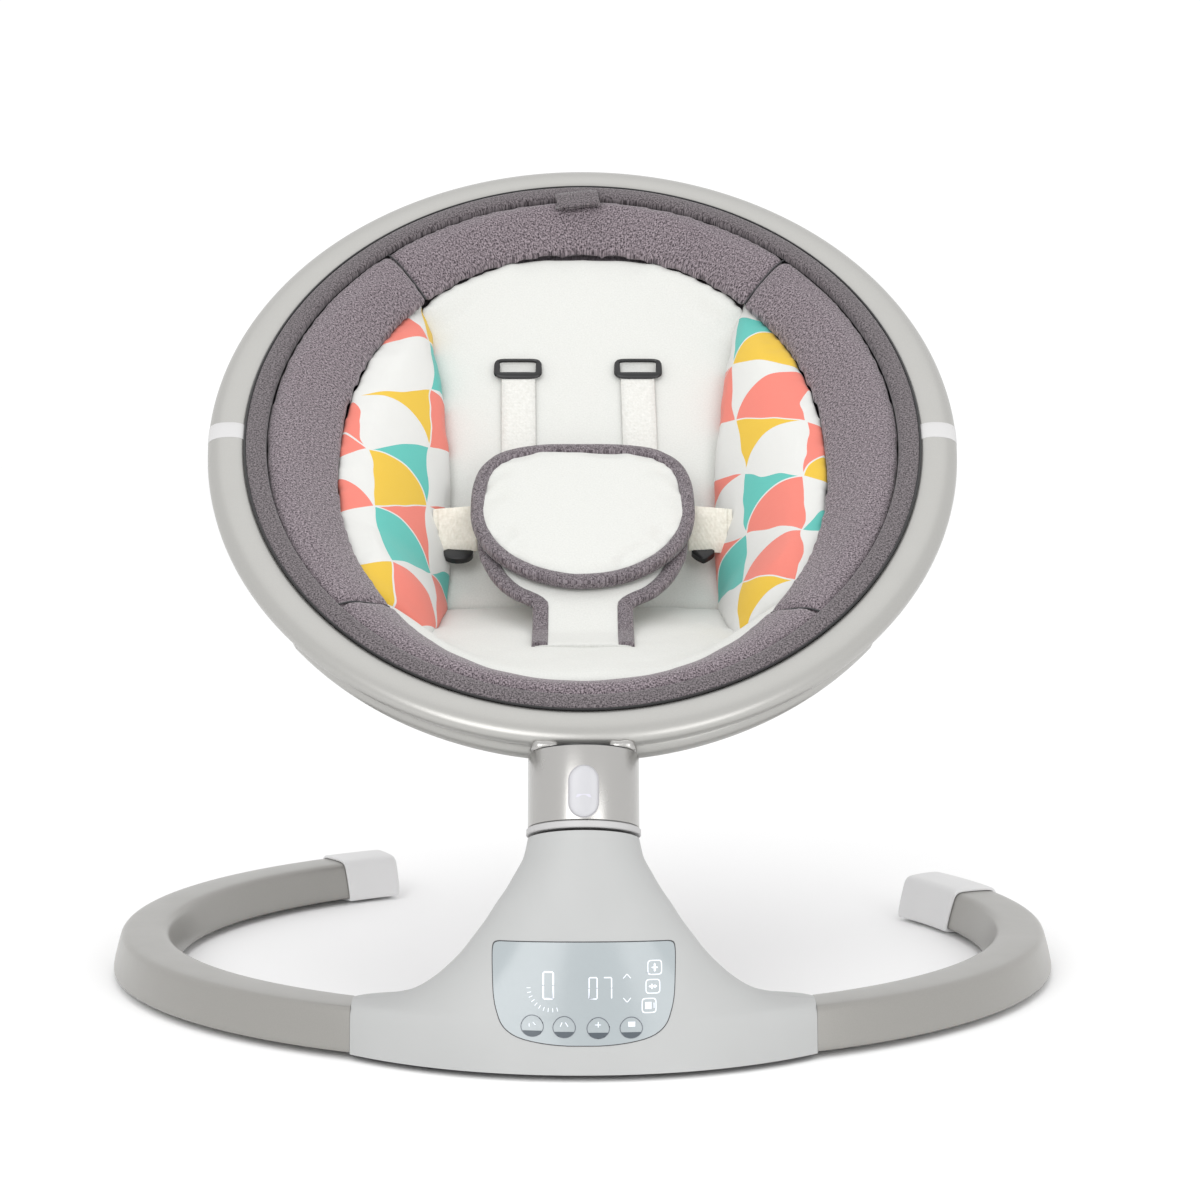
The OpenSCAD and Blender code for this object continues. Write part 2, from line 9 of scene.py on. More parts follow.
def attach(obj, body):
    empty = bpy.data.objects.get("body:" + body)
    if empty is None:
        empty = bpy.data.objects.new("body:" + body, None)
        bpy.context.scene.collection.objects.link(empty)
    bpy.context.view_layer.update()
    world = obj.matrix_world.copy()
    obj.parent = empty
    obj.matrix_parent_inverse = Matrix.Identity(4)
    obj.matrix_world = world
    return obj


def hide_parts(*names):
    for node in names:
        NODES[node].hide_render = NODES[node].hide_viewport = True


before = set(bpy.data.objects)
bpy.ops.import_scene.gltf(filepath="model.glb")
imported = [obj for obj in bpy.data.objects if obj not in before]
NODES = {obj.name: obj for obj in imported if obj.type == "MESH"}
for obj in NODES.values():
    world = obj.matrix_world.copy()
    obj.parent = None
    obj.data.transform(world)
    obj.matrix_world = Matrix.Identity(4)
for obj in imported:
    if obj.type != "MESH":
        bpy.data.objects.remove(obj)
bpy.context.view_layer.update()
MM = 0.001
scene = bpy.context.scene

# ---------------------------------------------------------------- the part's own geometry, as in the CAD
P0 = (0.0, -238.0, 133.0)          # where the turret axis leaves the hub
LEAN = math.radians(20)
RC = (0.0, 40.0, 387.0)            # centre of the seat ring
TILT = math.radians(36)
RA, RB = 255.2, 320.0              # ring tube's centre line
BA, BB = 335.0, 300.0              # base ellipse
IA, IB, IS, IM, IN = 176.5, 254.0, -4.4, 2.1, -22.0
CT, ST = math.cos(TILT), math.sin(TILT)
CL, SL = math.cos(LEAN), math.sin(LEAN)


def G(u, s, n):
    """Seat ring coordinates to the row frame: across, towards the head end, out of the seat."""
    return Vector((RC[0] + u, RC[1] + s * CT - n * ST, RC[2] + s * ST + n * CT)) * MM


def local(p):
    y, z = p[1] / MM - RC[1], p[2] / MM - RC[2]
    return p[0] / MM, y * CT + z * ST, -y * ST + z * CT


def A(x, d, t):
    """Turret coordinates to the row frame: across, to the rear, up the axis."""
    return Vector((x, P0[1] + d * CL + t * SL, P0[2] - d * SL + t * CL)) * MM


def sp(c, m):
    return math.copysign(abs(c) ** (2 / m), c)


def lerp(a, b, t):
    return a + (b - a) * t


def clamp(x, a=0.0, b=1.0):
    return max(a, min(b, x))


def smooth(x, a=0.0, b=1.0):
    t = clamp((x - a) / (b - a))
    return t * t * (3 - 2 * t)


def table(z, rows, k):
    """Smooth interpolation of column k over column 0, whose values fall or rise steadily."""
    r = rows if rows[0][0] < rows[-1][0] else rows[::-1]
    z = clamp(z, r[0][0], r[-1][0])
    i = 0
    while i < len(r) - 2 and z > r[i + 1][0]:
        i += 1
    x0, x1 = r[i][0], r[i + 1][0]
    y0, y1 = r[i][k], r[i + 1][k]
    d = (y1 - y0) / (x1 - x0)
    dl = (y0 - r[i - 1][k]) / (x0 - r[i - 1][0]) if i > 0 else d
    dr = (r[i + 2][k] - y1) / (r[i + 2][0] - x1) if i < len(r) - 2 else d
    m0, m1 = (0 if dl * d <= 0 else 2 * dl * d / (dl + d)), (0 if dr * d <= 0 else 2 * dr * d / (dr + d))
    h, t = x1 - x0, (z - x0) / (x1 - x0)
    return ((2 * t**3 - 3 * t**2 + 1) * y0 + (t**3 - 2 * t**2 + t) * h * m0
            + (3 * t**2 - 2 * t**3) * y1 + (t**3 - t**2) * h * m1)


# ---------------------------------------------------------------- mesh building
def make(name, verts, faces, mat, body, *nodes, sharp=40, slot=None, fix=True):
    me = bpy.data.meshes.new(name)
    me.from_pydata([tuple(v) for v in verts], [], faces)
    bm = bmesh.new()
    bm.from_mesh(me)
    bmesh.ops.remove_doubles(bm, verts=bm.verts, dist=1e-6)
    if fix:
        bmesh.ops.recalc_face_normals(bm, faces=bm.faces)
    bm.to_mesh(me)
    bm.free()
    me.shade_smooth()
    if sharp:
        me.set_sharp_from_angle(angle=math.radians(sharp))
    ob = bpy.data.objects.new(name, me)
    scene.collection.objects.link(ob)
    me.materials.append(mat)
    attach(ob, body)
    if nodes:
        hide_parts(*nodes)
    return ob


def grid_faces(m, n, ring=False, wrap=True, off=0):
    out = []
    for i in range(m if ring else m - 1):
        for j in range(n if wrap else n - 1):
            k, l = (i + 1) % m, (j + 1) % n
            out.append((off + i * n + j, off + i * n + l, off + k * n + l, off + k * n + j))
    return out


def loft(name, rows, mat, body, *nodes, ring=False, cap="ngon", **kw):
    """Closed solid through loops of points; cap is ngon for convex ends and strip for thin ones."""
    m, n = len(rows), len(rows[0])
    verts = [p for r in rows for p in r]
    faces = grid_faces(m, n, ring)
    if not ring:
        if cap == "ngon":
            faces += [tuple(range(n - 1, -1, -1)), tuple((m - 1) * n + j for j in range(n))]
        else:
            h = n // 2
            for j in range(h - 1):
                q = (j, j + 1, n - 2 - j, n - 1 - j)
                faces += [q, tuple((m - 1) * n + x for x in q[::-1])]
    return make(name, verts, faces, mat, body, *nodes, **kw)


def plate(name, top, bottom, mat, body, *nodes, **kw):
    """Closed slab between two grids of points of the same size."""
    m, n = len(top), len(top[0])
    rows = [list(top[i]) + list(bottom[i][::-1]) for i in range(m)]
    return loft(name, rows, mat, body, *nodes, cap="strip", **kw)


def chaikin(pts, k=2):
    for _ in range(k):
        pts = [q for i, p in enumerate(pts) for q in (
            [lerp(a, b, 0.25) for a, b in zip(p, pts[(i + 1) % len(pts)])],
            [lerp(a, b, 0.75) for a, b in zip(p, pts[(i + 1) % len(pts)])])]
    return pts


def lathe(name, prof, mat, body, *nodes, n=96, **kw):
    """Ring of (radius, height) points turned round the turret axis."""
    rows = [[A(r * math.cos(2 * math.pi * i / n), r * math.sin(2 * math.pi * i / n), t) for r, t in prof]
            for i in range(n)]
    return loft(name, rows, mat, body, *nodes, ring=True, **kw)


# ---------------------------------------------------------------- materials
def node_mat(name):
    m = bpy.data.materials.new(name)
    m.use_nodes = True
    nt = m.node_tree
    return m, nt, nt.nodes["Principled BSDF"]


class Net:
    """Short hands for building a node tree."""

    def __init__(self, nt):
        self.nt = nt

    def node(self, kind, **kw):
        n = self.nt.nodes.new(kind)
        for k, v in kw.items():
            setattr(n, k, v)
        return n

    def put(self, sock, v):
        if isinstance(v, bpy.types.NodeSocket):
            self.nt.links.new(v, sock)
        else:
            sock.default_value = v

    def m(self, op, a, b=0.0, c=0.0):
        n = self.node("ShaderNodeMath", operation=op)
        for s, v in zip(n.inputs, (a, b, c)):
            self.put(s, v)
        return n.outputs[0]

    def noise(self, vec, scale, detail=3.0, rough=0.55):
        n = self.node("ShaderNodeTexNoise")
        self.put(n.inputs["Vector"], vec)
        n.inputs["Scale"].default_value = scale
        n.inputs["Detail"].default_value = detail
        n.inputs["Roughness"].default_value = rough
        return n.outputs["Fac"]

    def ramp(self, fac, stops, interp="LINEAR"):
        n = self.node("ShaderNodeValToRGB")
        n.color_ramp.interpolation = interp
        el = n.color_ramp.elements
        while len(el) < len(stops):
            el.new(0.5)
        for e, (p, c) in zip(el, stops):
            e.position = p
            e.color = (*c, 1)
        self.put(n.inputs["Fac"], fac)
        return n.outputs["Color"]

    def mix(self, fac, a, b):
        n = self.node("ShaderNodeMix", data_type="RGBA")
        self.put(n.inputs[0], fac)
        self.put(n.inputs[6], a if isinstance(a, bpy.types.NodeSocket) else (*a, 1))
        self.put(n.inputs[7], b if isinstance(b, bpy.types.NodeSocket) else (*b, 1))
        return n.outputs[2]

    def scaled(self, vec, s):
        n = self.node("ShaderNodeMapping")
        self.put(n.inputs["Vector"], vec)
        n.inputs["Scale"].default_value = s
        return n.outputs[0]

    def bump(self, height, strength, dist, normal=None):
        n = self.node("ShaderNodeBump")
        n.inputs["Strength"].default_value = strength
        n.inputs["Distance"].default_value = dist
        self.put(n.inputs["Height"], height)
        if normal is not None:
            self.put(n.inputs["Normal"], normal)
        return n.outputs[0]


def shade(c, k):
    return tuple(clamp(x * k) for x in c)


def plastic(name, col, rough=0.45, grain=2600, bump=0.12, coat=0.0, spec=0.45):
    m, nt, b = node_mat(name)
    N = Net(nt)
    o = N.node("ShaderNodeTexCoord").outputs["Object"]
    big, fine = N.noise(o, 14, 2), N.noise(o, grain, 2)
    N.put(b.inputs["Base Color"], N.ramp(big, [(0.3, shade(col, 0.975)), (0.7, shade(col, 1.02))]))
    N.put(b.inputs["Roughness"], N.m("MULTIPLY_ADD", N.noise(o, 60, 3), 0.12, rough - 0.06))
    N.put(b.inputs["Normal"], N.bump(fine, bump, 0.0002))
    b.inputs["Specular IOR Level"].default_value = spec
    b.inputs["Coat Weight"].default_value = coat
    b.inputs["Coat Roughness"].default_value = 0.2
    return m


def metal(name, col, rough=0.32, metallic=0.75, flake=0.04, coat=0.25):
    """Satin metallic paint or plain steel: fine flake in the colour and a slight orange peel."""
    m, nt, b = node_mat(name)
    N = Net(nt)
    o = N.node("ShaderNodeTexCoord").outputs["Object"]
    fl = N.noise(o, 2400, 1)
    N.put(b.inputs["Base Color"], N.ramp(fl, [(0.3, shade(col, 1 - flake)), (0.7, shade(col, 1 + flake))]))
    N.put(b.inputs["Roughness"], N.m("MULTIPLY_ADD", N.noise(o, 35, 3), 0.1, rough - 0.05))
    N.put(b.inputs["Normal"], N.bump(N.noise(o, 420, 2), 0.05, 0.0003))
    b.inputs["Metallic"].default_value = metallic
    b.inputs["Coat Weight"].default_value = coat
    b.inputs["Coat Roughness"].default_value = 0.25
    return m


def fabric(name, dark, light, thread=1.0, contrast=1.0, sheen=0.25, rough=0.9, bump=0.6, tint=None, uv=True):
    """Plain weave with streaky threads: two crossed sets of stretched noise, and their own relief."""
    m, nt, b = node_mat(name)
    N = Net(nt)
    tc = N.node("ShaderNodeTexCoord")
    v = tc.outputs["UV"] if uv else tc.outputs["Object"]
    f = 1000 / thread
    warp = N.noise(N.scaled(v, (f * 0.95, f * 0.4, 1)), 1, 2, 0.6)
    weft = N.noise(N.scaled(v, (f * 0.36, f * 1.0, 1)), 1, 2, 0.6)
    speck = N.noise(N.scaled(v, (f * 0.55, f * 0.55, 1)), 1, 1, 0.5)
    fac = N.m("MULTIPLY_ADD", N.m("ADD", warp, weft), 0.36, N.m("MULTIPLY", speck, 0.28))
    lo, hi = 0.5 - 0.13 / contrast, 0.5 + 0.13 / contrast
    col = N.ramp(fac, [(lo, dark), (0.5, tuple(lerp(a, c, 0.5) for a, c in zip(dark, light))), (hi, light)])
    large = N.noise(v, 30, 3)
    col = N.mix(N.m("MULTIPLY", large, 0.18), col, tint or shade(dark, 0.8))
    N.put(b.inputs["Base Color"], col)
    sx = N.node("ShaderNodeSeparateXYZ")
    N.put(sx.inputs[0], v)
    w = math.pi * 1000 / thread
    weave = N.m("MULTIPLY", N.m("SINE", N.m("MULTIPLY", sx.outputs[0], w)),
                N.m("SINE", N.m("MULTIPLY", sx.outputs[1], w)))
    h = N.m("MULTIPLY_ADD", weave, 0.25, fac)
    soft = N.bump(N.noise(v, 90, 4), 0.25, 0.002)
    N.put(b.inputs["Normal"], N.bump(h, bump, 0.0005, soft))
    b.inputs["Roughness"].default_value = rough
    b.inputs["Specular IOR Level"].default_value = 0.2
    b.inputs["Sheen Weight"].default_value = sheen
    b.inputs["Sheen Roughness"].default_value = 0.45
    return m


CORAL, YELLOW, TEAL, WHITE = (0.74, 0.19, 0.145), (0.70, 0.455, 0.03), (0.085, 0.46, 0.405), (0.66, 0.665, 0.645)


def fan_print(name, turn, shift):
    """Generic sunshade print: staggered rows of many-coloured gores, straight at the sides and domed on top."""
    m, nt, b = node_mat(name)
    N = Net(nt)
    tc = N.node("ShaderNodeTexCoord")
    mp = N.node("ShaderNodeMapping")
    N.put(mp.inputs["Vector"], tc.outputs["UV"])
    mp.inputs["Rotation"].default_value = (0, 0, turn)
    mp.inputs["Location"].default_value = (*shift, 0)
    wob = N.node("ShaderNodeTexNoise")
    N.put(wob.inputs["Vector"], tc.outputs["UV"])
    wob.inputs["Scale"].default_value = 14
    sx = N.node("ShaderNodeSeparateXYZ")
    N.put(sx.inputs[0], mp.outputs[0])
    W, H, DOME = 0.060, 0.050, 0.26
    x = N.m("DIVIDE", sx.outputs[0], W)
    x = N.m("ADD", x, N.m("MULTIPLY_ADD", wob.outputs["Fac"], 0.5, -0.25))
    y = N.m("DIVIDE", sx.outputs[1], -H)

    def across(r):
        return N.m("SUBTRACT", x, N.m("MULTIPLY", N.m("PINGPONG", r, 1), 0.5))

    j0 = N.m("FLOOR", y)
    j1 = N.m("ADD", j0, 1)
    f = N.m("FRACT", across(j1))
    lift = N.m("MULTIPLY", N.m("MULTIPLY", f, N.m("SUBTRACT", 1, f)), 4 * DOME)
    over = N.m("SUBTRACT", N.m("ADD", y, lift), j1)          # positive inside the dome of the next row
    row = N.m("ADD", j0, N.m("GREATER_THAN", over, 0))
    fx = across(row)
    t = N.m("MULTIPLY", N.m("SUBTRACT", y, row), 0.5)
    i = N.m("ROUND", fx)
    e = N.m("SUBTRACT", t, N.m("ABSOLUTE", N.m("SUBTRACT", fx, i)))
    up = N.m("GREATER_THAN", e, 0)
    low = N.m("FLOOR", fx)
    base = N.m("ADD", N.m("MULTIPLY", row, 3), N.m("MULTIPLY", N.m("ADD", N.m("MULTIPLY", i, up), N.m("MULTIPLY", low, N.m("SUBTRACT", 1, up))), 2))
    idx = N.m("FLOORED_MODULO", N.m("ADD", base, N.m("SUBTRACT", 1, up)), 7)
    pal = [CORAL, WHITE, TEAL, WHITE, CORAL, WHITE, YELLOW]
    col = N.ramp(N.m("DIVIDE", N.m("ADD", idx, 0.5), 7), [(k / 7, c) for k, c in enumerate(pal)], "CONSTANT")
    gap = N.m("MINIMUM", N.m("ABSOLUTE", e), N.m("MULTIPLY", N.m("ABSOLUTE", over), 0.8))
    col = N.mix(N.m("LESS_THAN", gap, 0.012), col, WHITE)
    k = 1700
    grain = N.noise(N.scaled(tc.outputs["UV"], (k, k, 1)), 1, 2)
    N.put(b.inputs["Base Color"], N.mix(N.m("MULTIPLY", grain, 0.1), col, (0.55, 0.5, 0.48)))
    soft = N.bump(N.noise(tc.outputs["UV"], 60, 4), 0.25, 0.002)
    N.put(b.inputs["Normal"], N.bump(grain, 0.35, 0.0004, soft))
    b.inputs["Roughness"].default_value = 0.85
    b.inputs["Sheen Weight"].default_value = 0.15
    b.inputs["Specular IOR Level"].default_value = 0.2
    return m


def glow(name, col, strength):
    m, nt, b = node_mat(name)
    N = Net(nt)
    o = N.node("ShaderNodeTexCoord").outputs["Object"]
    N.put(b.inputs["Base Color"], N.ramp(N.noise(o, 300, 1), [(0.3, shade(col, 0.96)), (0.7, col)]))
    b.inputs["Emission Color"].default_value = (*col, 1)
    b.inputs["Emission Strength"].default_value = strength
    b.inputs["Roughness"].default_value = 0.4
    return m


M_HUB = plastic("hub_plastic", (0.405, 0.41, 0.407), 0.5)
M_CAP = plastic("cap_plastic", (0.70, 0.70, 0.70), 0.42)
M_COLLAR = plastic("collar_plastic", (0.44, 0.437, 0.437), 0.4)
M_JOINT = plastic("joint_plastic", (0.55, 0.545, 0.545), 0.4)
M_BUTTON = plastic("button_plastic", (0.46, 0.46, 0.48), 0.35, coat=0.1)
M_BLACK = plastic("black_plastic", (0.012, 0.012, 0.013), 0.35)
M_DARK = plastic("dark_plastic", (0.05, 0.05, 0.053), 0.5)
# mid grey for painted shade: the dark outline of the gap round the release button
M_GAP_SHADE = plastic("shadow_grey_plastic", (0.36, 0.355, 0.37), 0.5)
M_RUBBER = plastic("rubber", (0.03, 0.03, 0.03), 0.8, 900, 0.3, spec=0.25)
M_BOARD = plastic("circuit_board", (0.03, 0.13, 0.06), 0.4)
M_BASE = metal("base_paint", (0.30, 0.292, 0.275), 0.34, 0.6)
M_RING = metal("ring_paint", (0.40, 0.395, 0.378), 0.34, 0.65)
M_NECK = metal("neck_paint", (0.42, 0.413, 0.40), 0.26, 0.85)
M_STEEL = metal("turned_steel", (0.55, 0.56, 0.57), 0.3, 1.0, 0.06, 0.0)
M_COPPER = metal("wound_copper", (0.60, 0.24, 0.12), 0.35, 1.0, 0.12, 0.2)
M_LENS = plastic("display_plastic", (0.33, 0.365, 0.38), 0.2, 900, 0.02, coat=0.3)
M_GLOW = glow("display_light", (0.74, 0.78, 0.85), 0.04)
M_MARK = plastic("touch_print", (0.10, 0.11, 0.13), 0.35)
M_GREY = fabric("grey_heather", (0.04, 0.031, 0.037), (0.345, 0.293, 0.32), 0.72, 1.7)
M_BIND = fabric("dark_heather", (0.035, 0.028, 0.032), (0.22, 0.195, 0.205), 0.72, 1.6)
M_TAPE = fabric("heather_tape", (0.04, 0.03, 0.036), (0.30, 0.265, 0.285), 0.5, 1.4, uv=False)
M_BAG = fabric("bag_cloth", (0.10, 0.085, 0.095), (0.27, 0.24, 0.26), 1.3, 1.0)
M_WHITE = fabric("white_knit", (0.61, 0.615, 0.59), (0.68, 0.685, 0.66), 0.7, 1.0, 0.15, bump=0.3, tint=(0.59, 0.60, 0.57))
M_WEB = fabric("white_webbing", (0.62, 0.617, 0.585), (0.72, 0.717, 0.69), 1.6, 1.0, 0.1, bump=0.6, tint=(0.64, 0.635, 0.60))
M_CREAM = fabric("cream_webbing", (0.66, 0.63, 0.545), (0.80, 0.775, 0.70), 1.6, 1.0, 0.1, bump=0.7, tint=(0.70, 0.67, 0.59))
M_FAN_L = fan_print("fan_print_left", math.radians(22), (0.012, 0.030))
M_FAN_R = fan_print("fan_print_right", math.radians(-26), (0.030, 0.012))

for nm, m in {
    "floor_pads": M_RUBBER, "tube_end_plugs": M_DARK, "hub_bottom_plate": M_DARK, "hub_screws": M_STEEL,
    "display_board": M_BOARD, "main_board": M_BOARD, "speaker": M_BLACK, "dc_inlet": M_BLACK,
    "coil_post": M_DARK, "drive_coil": M_COPPER, "bearing_carrier": M_DARK, "bearing_upper": M_STEEL,
    "bearing_lower": M_STEEL, "swing_spindle": M_STEEL, "spindle_clip": M_STEEL, "magnet_arm": M_STEEL,
    "drive_magnet": M_STEEL, "neck_core": M_DARK, "latch_pawl": M_STEEL, "latch_spring": M_STEEL,
    "rim_carrier": M_BLACK,
}.items():
    ob = NODES[nm]
    ob.data.materials.clear()
    ob.data.materials.append(m)
    bv = ob.modifiers.new("edge", "BEVEL")
    bv.width, bv.segments, bv.limit_method = 0.0003, 2, "ANGLE"

# ---------------------------------------------------------------- base: tubes and foot caps
TF, TL, TH = 46.0, 4.0, 28.0
TM = (TF / 2, TL + TH / 2)
TUBE = [(1.5, TL), (0, TL + 2.5), (5.2, TL + TH - 5), (6.8, TL + TH - 1.7), (10, TL + TH), (TF - 12.5, TL + TH),
        (TF - 8.2, TL + TH - 1.5), (TF - 6, TL + TH - 5), (TF, TL + 2.5), (TF - 1.5, TL)]


def tube_sec(g, k=2):
    return chaikin([(TM[0] + (r - TM[0]) * (1 + g / 23), TM[1] + (z - TM[1]) * (1 + g / 14)) for r, z in TUBE], k)


def bnorm(phi):
    v = Vector((math.cos(phi) / BA, math.sin(phi) / BB))
    return v.normalized()


def bcos(x, r):
    c = x / BA
    for _ in range(6):
        c = (x + r * bnorm(math.acos(c)).x) / BA
    return c


def bpt(sx, phi, r, z):
    n = bnorm(phi)
    return Vector((sx * (BA * math.cos(phi) - r * n.x), BB * math.sin(phi) - r * n.y, z)) * MM


def base_tube(name, sx, end):
    sec = tube_sec(0)
    start = [-math.acos(bcos(145.1, r)) for r, z in sec]
    rows = [[bpt(sx, lerp(start[j], math.radians(end - 1), k / 110), r, z) for j, (r, z) in enumerate(sec)]
            for k in range(111)]
    return loft(name, rows, M_BASE, "base", name.replace("_visual", ""), slot="base_tube_paint")


base_tube("base_tube_left_visual", -1, 60)
base_tube("base_tube_right_visual", 1, 33)


def foot_cap(name, sx, end, span):
    """Sleeve with a rolled mouth and a rounded end."""
    rows = []
    for k in range(9):                       # inside, from the deep end out
        rows.append((0.35, end - 0.8 - (span - 0.8) * k / 8))
    for g, f in [(0.9, -0.02), (1.7, 0.0), (2.2, 0.12)]:
        rows.append((g, end - span + f))
    for k in range(1, 13):
        rows.append((2.3, end - span + 0.12 + (span - 1.1) * k / 12))
    for k in range(1, 9):
        a = math.pi / 2 * k / 8
        rows.append((2.3 - 6.5 * (1 - math.cos(a)), end - 0.98 + 0.95 * math.sin(a)))
    return loft(name, [[bpt(sx, math.radians(p), r, max(z, 1.85)) for r, z in tube_sec(g)] for g, p in rows],
                M_CAP, "base", name.replace("_visual", ""), slot="foot_cap_plastic")


foot_cap("foot_cap_left_visual", -1, 60, 9.5)
foot_cap("foot_cap_right_visual", 1, 33, 14.5)

# ---------------------------------------------------------------- hub
HS = [(132.4, 35, 2, 20, 0), (122, 37.5, 2.05, 19, 0.03), (112, 43, 2.1, 17, 0.08),
      (103, 48.5, 2.15, 15, 0.13), (94, 55, 2.2, 13, 0.2), (85, 61, 2.25, 11, 0.27), (76, 68, 2.3, 9, 0.35),
      (66, 76, 2.35, 7, 0.45), (57, 85, 2.4, 5, 0.55), (48, 96, 2.45, 3.5, 0.67), (41, 108, 2.5, 2, 0.78),
      (36.5, 124, 2.5, 1, 0.87), (33.5, 143, 2.5, 0, 0.93), (31, 151, 2.5, 0, 0.97),
      (27, 159, 2.5, 0, 1.03), (16, 170, 2.5, 0, 1.18), (4.05, 181, 2.5, 0, 1.33)]
NR, HALF, WALL = 35.0, 145.0, 2.5


def hub_y(x, z, beta):
    return P0[1] + (z - P0[2]) * math.tan(LEAN) + beta * BB * (1 - math.sqrt(1 - (x / BA) ** 2))


def hub_d(x, w, n, D):
    return D * max(0.0, 1 - (abs(x) / w) ** n) ** (1 / n)


def hub_pt(x, z, zo, d):
    t = math.radians(table(z, HS, 3))
    return Vector((x, hub_y(x, z, table(z, HS, 4)) + d * math.cos(t), z - zo - d * math.sin(t))) * MM


def hub_row(z, side, Q=20):
    w, n = table(z, HS, 1), table(z, HS, 2)
    X, Xi = min(w, HALF), min(w - WALL, HALF - WALL)
    zo = 2.0 * smooth(132.4 - z, 0, 6) * smooth(z, 4.05, 12)
    out = [hub_pt(-X, z, 0, side * 0.12)]
    out += [hub_pt(X * math.sin(math.radians(88 * i / Q)), z, 0,
                   side * max(hub_d(X * math.sin(math.radians(88 * i / Q)), w, n, NR), 0.4)) for i in range(-Q, Q + 1)]
    out += [hub_pt(X, z, 0, side * 0.12), hub_pt(Xi, z, zo, side * 0.12)]
    out += [hub_pt(Xi * math.sin(math.radians(88 * i / Q)), z, zo,
                   side * max(hub_d(Xi * math.sin(math.radians(88 * i / Q)), w - WALL, n, NR - WALL), 0.3))
            for i in range(Q, -Q - 1, -1)]
    return out + [hub_pt(-Xi, z, zo, side * 0.12)]


HZ = [132.4, 131.6] + [130 - 2.0 * i for i in range(45)] + [40.5, 39, 37.5, 36, 34.8, 33.8, 33, 32, 31, 29, 27, 23, 18, 12, 7, 4.6, 4.05]
for side, nm in ((-1, "hub_front_shell"), (1, "hub_rear_shell")):
    loft(nm + "_visual", [hub_row(z, side) for z in HZ], M_HUB, "base", nm, cap="strip", slot="hub_plastic")


def face(x, z, o):
    """Point on the hub's front at x and section height z, o outside it."""
    return hub_pt(x, z, 0, -hub_d(x, table(z, HS, 1), table(z, HS, 2), NR) - o)


LS = [(74.1, 51.2), (73.8, 53.2), (73.0, 54.7), (71.4, 55.4), (68, 55.7), (56, 55.3), (48, 54.8), (42.6, 53.9), (37, 52.1), (33.5, 50.4),
      (30.5, 48.2), (28, 45.3), (26, 41.8), (24.2, 36.6), (22.8, 29.8), (21.7, 22), (21.1, 15), (20.8, 9)]


def face_plate(name, grow, o, i, mat, *nodes, **kw):
    zs = [74.1, 73.95, 73.7, 73.3, 72.8, 72.2, 71.4, 70.4] + [lerp(69, 24, k / 36) for k in range(37)] + [23.2, 22.5, 21.9, 21.4, 21.05, 20.8]
    mid = 47.4
    st = [(mid + (z - mid) * (1 + grow / 26.5), table(z, LS, 1) + grow) for z in zs]
    top = [[face(w * q / 24, z, o) for q in range(-24, 25)] for z, w in st]
    bot = [[face(w * q / 24, z, -i) for q in range(-24, 25)] for z, w in st]
    return plate(name, top, bot, mat, "base", *nodes, **kw)


face_plate("display_gasket", 0.55, 0.12, 1.0, M_DARK)
lens = face_plate("display_lens_visual", 0.0, 0.45, 1.2, M_LENS, "display_lens", slot="display_plastic")


def decal(name, polys, mat, o=0.62):
    """Thin printed or lit shapes on the display: polygons of (x, z) points."""
    verts, faces = [], []
    for p in polys:
        k, n = len(verts), len(p)
        verts += [face(x, z, o) for x, z in p] + [face(x, z, o - 0.12) for x, z in p]
        faces += [tuple(range(k, k + n)), tuple(range(k + 2 * n - 1, k + n - 1, -1))]
        faces += [(k + j, k + n + j, k + n + (j + 1) % n, k + (j + 1) % n) for j in range(n)]
    return make(name, verts, faces, mat, "base", sharp=30)


def px(x, y):
    """Display drawing units to the hub's face: 1.655 units across to a millimetre and 1.968 up."""
    return ((x - 584.7) / 1.655, 20.5 + (1045.5 - y) / 1.968)


def bar(x0, y0, x1, y1, w):
    a, b = Vector((x0, y0)), Vector((x1, y1))
    d = (b - a).normalized()
    n = Vector((-d.y, d.x)) * w / 2
    e = d * w / 2
    return [px(*p) for p in (a + n + e, b + n - e, b, b - n - e, a - n + e, a)]


def seg7(x, y, w, h, digit, t=2.0):
    """Seven-segment figure with its top left corner at x, y."""
    on = {0: "abcdef", 7: "abc"}[digit]
    q = {"a": (x, y, x + w, y), "b": (x + w, y, x + w, y + h / 2), "c": (x + w, y + h / 2, x + w, y + h),
         "d": (x, y + h, x + w, y + h), "e": (x, y + h / 2, x, y + h), "f": (x, y, x, y + h / 2)}
    return [bar(*q[k], t) for k in on]


lit = seg7(544, 969.5, 10, 27, 0, 1.9) + seg7(590, 975, 8, 21.5, 0, 1.4) + seg7(604.5, 975, 8, 21.5, 7, 1.4)
for y, d in ((974, -1), (998, 1)):
    lit += [bar(624, y - 2.3 * d, 628, y + 2.3 * d, 1.0), bar(628, y + 2.3 * d, 632, y - 2.3 * d, 1.0)]
for i in range(10):
    a = math.radians(178 - i * 11.5)
    c = (552, 985)
    lit.append(bar(c[0] + 25 * math.cos(a), c[1] + 25 * math.sin(a), c[0] + 20.5 * math.cos(a), c[1] + 20.5 * math.sin(a), 0.9))
ICONS = ((656, 966), (654, 985), (650, 1004))
for x, y in ICONS:
    n = 28
    loop = [(7.6 * sp(math.cos(2 * math.pi * j / n), 5), 7.6 * sp(math.sin(2 * math.pi * j / n), 5)) for j in range(n)]
    for j in range(n):
        (ax, ay), (bx, by) = loop[j], loop[(j + 1) % n]
        lit.append([px(x + ax, y + ay), px(x + bx, y + by), px(x + bx * 0.84, y + by * 0.84), px(x + ax * 0.84, y + ay * 0.84)])
lit += [bar(656, 961.5, 656, 970.5, 2.2), bar(652.5, 966, 659.5, 966, 1.6)]
lit += [bar(649.5, 985, 658.5, 985, 2.4), bar(653, 982, 653, 988, 1.6), bar(656, 983, 656, 987, 1.6)]
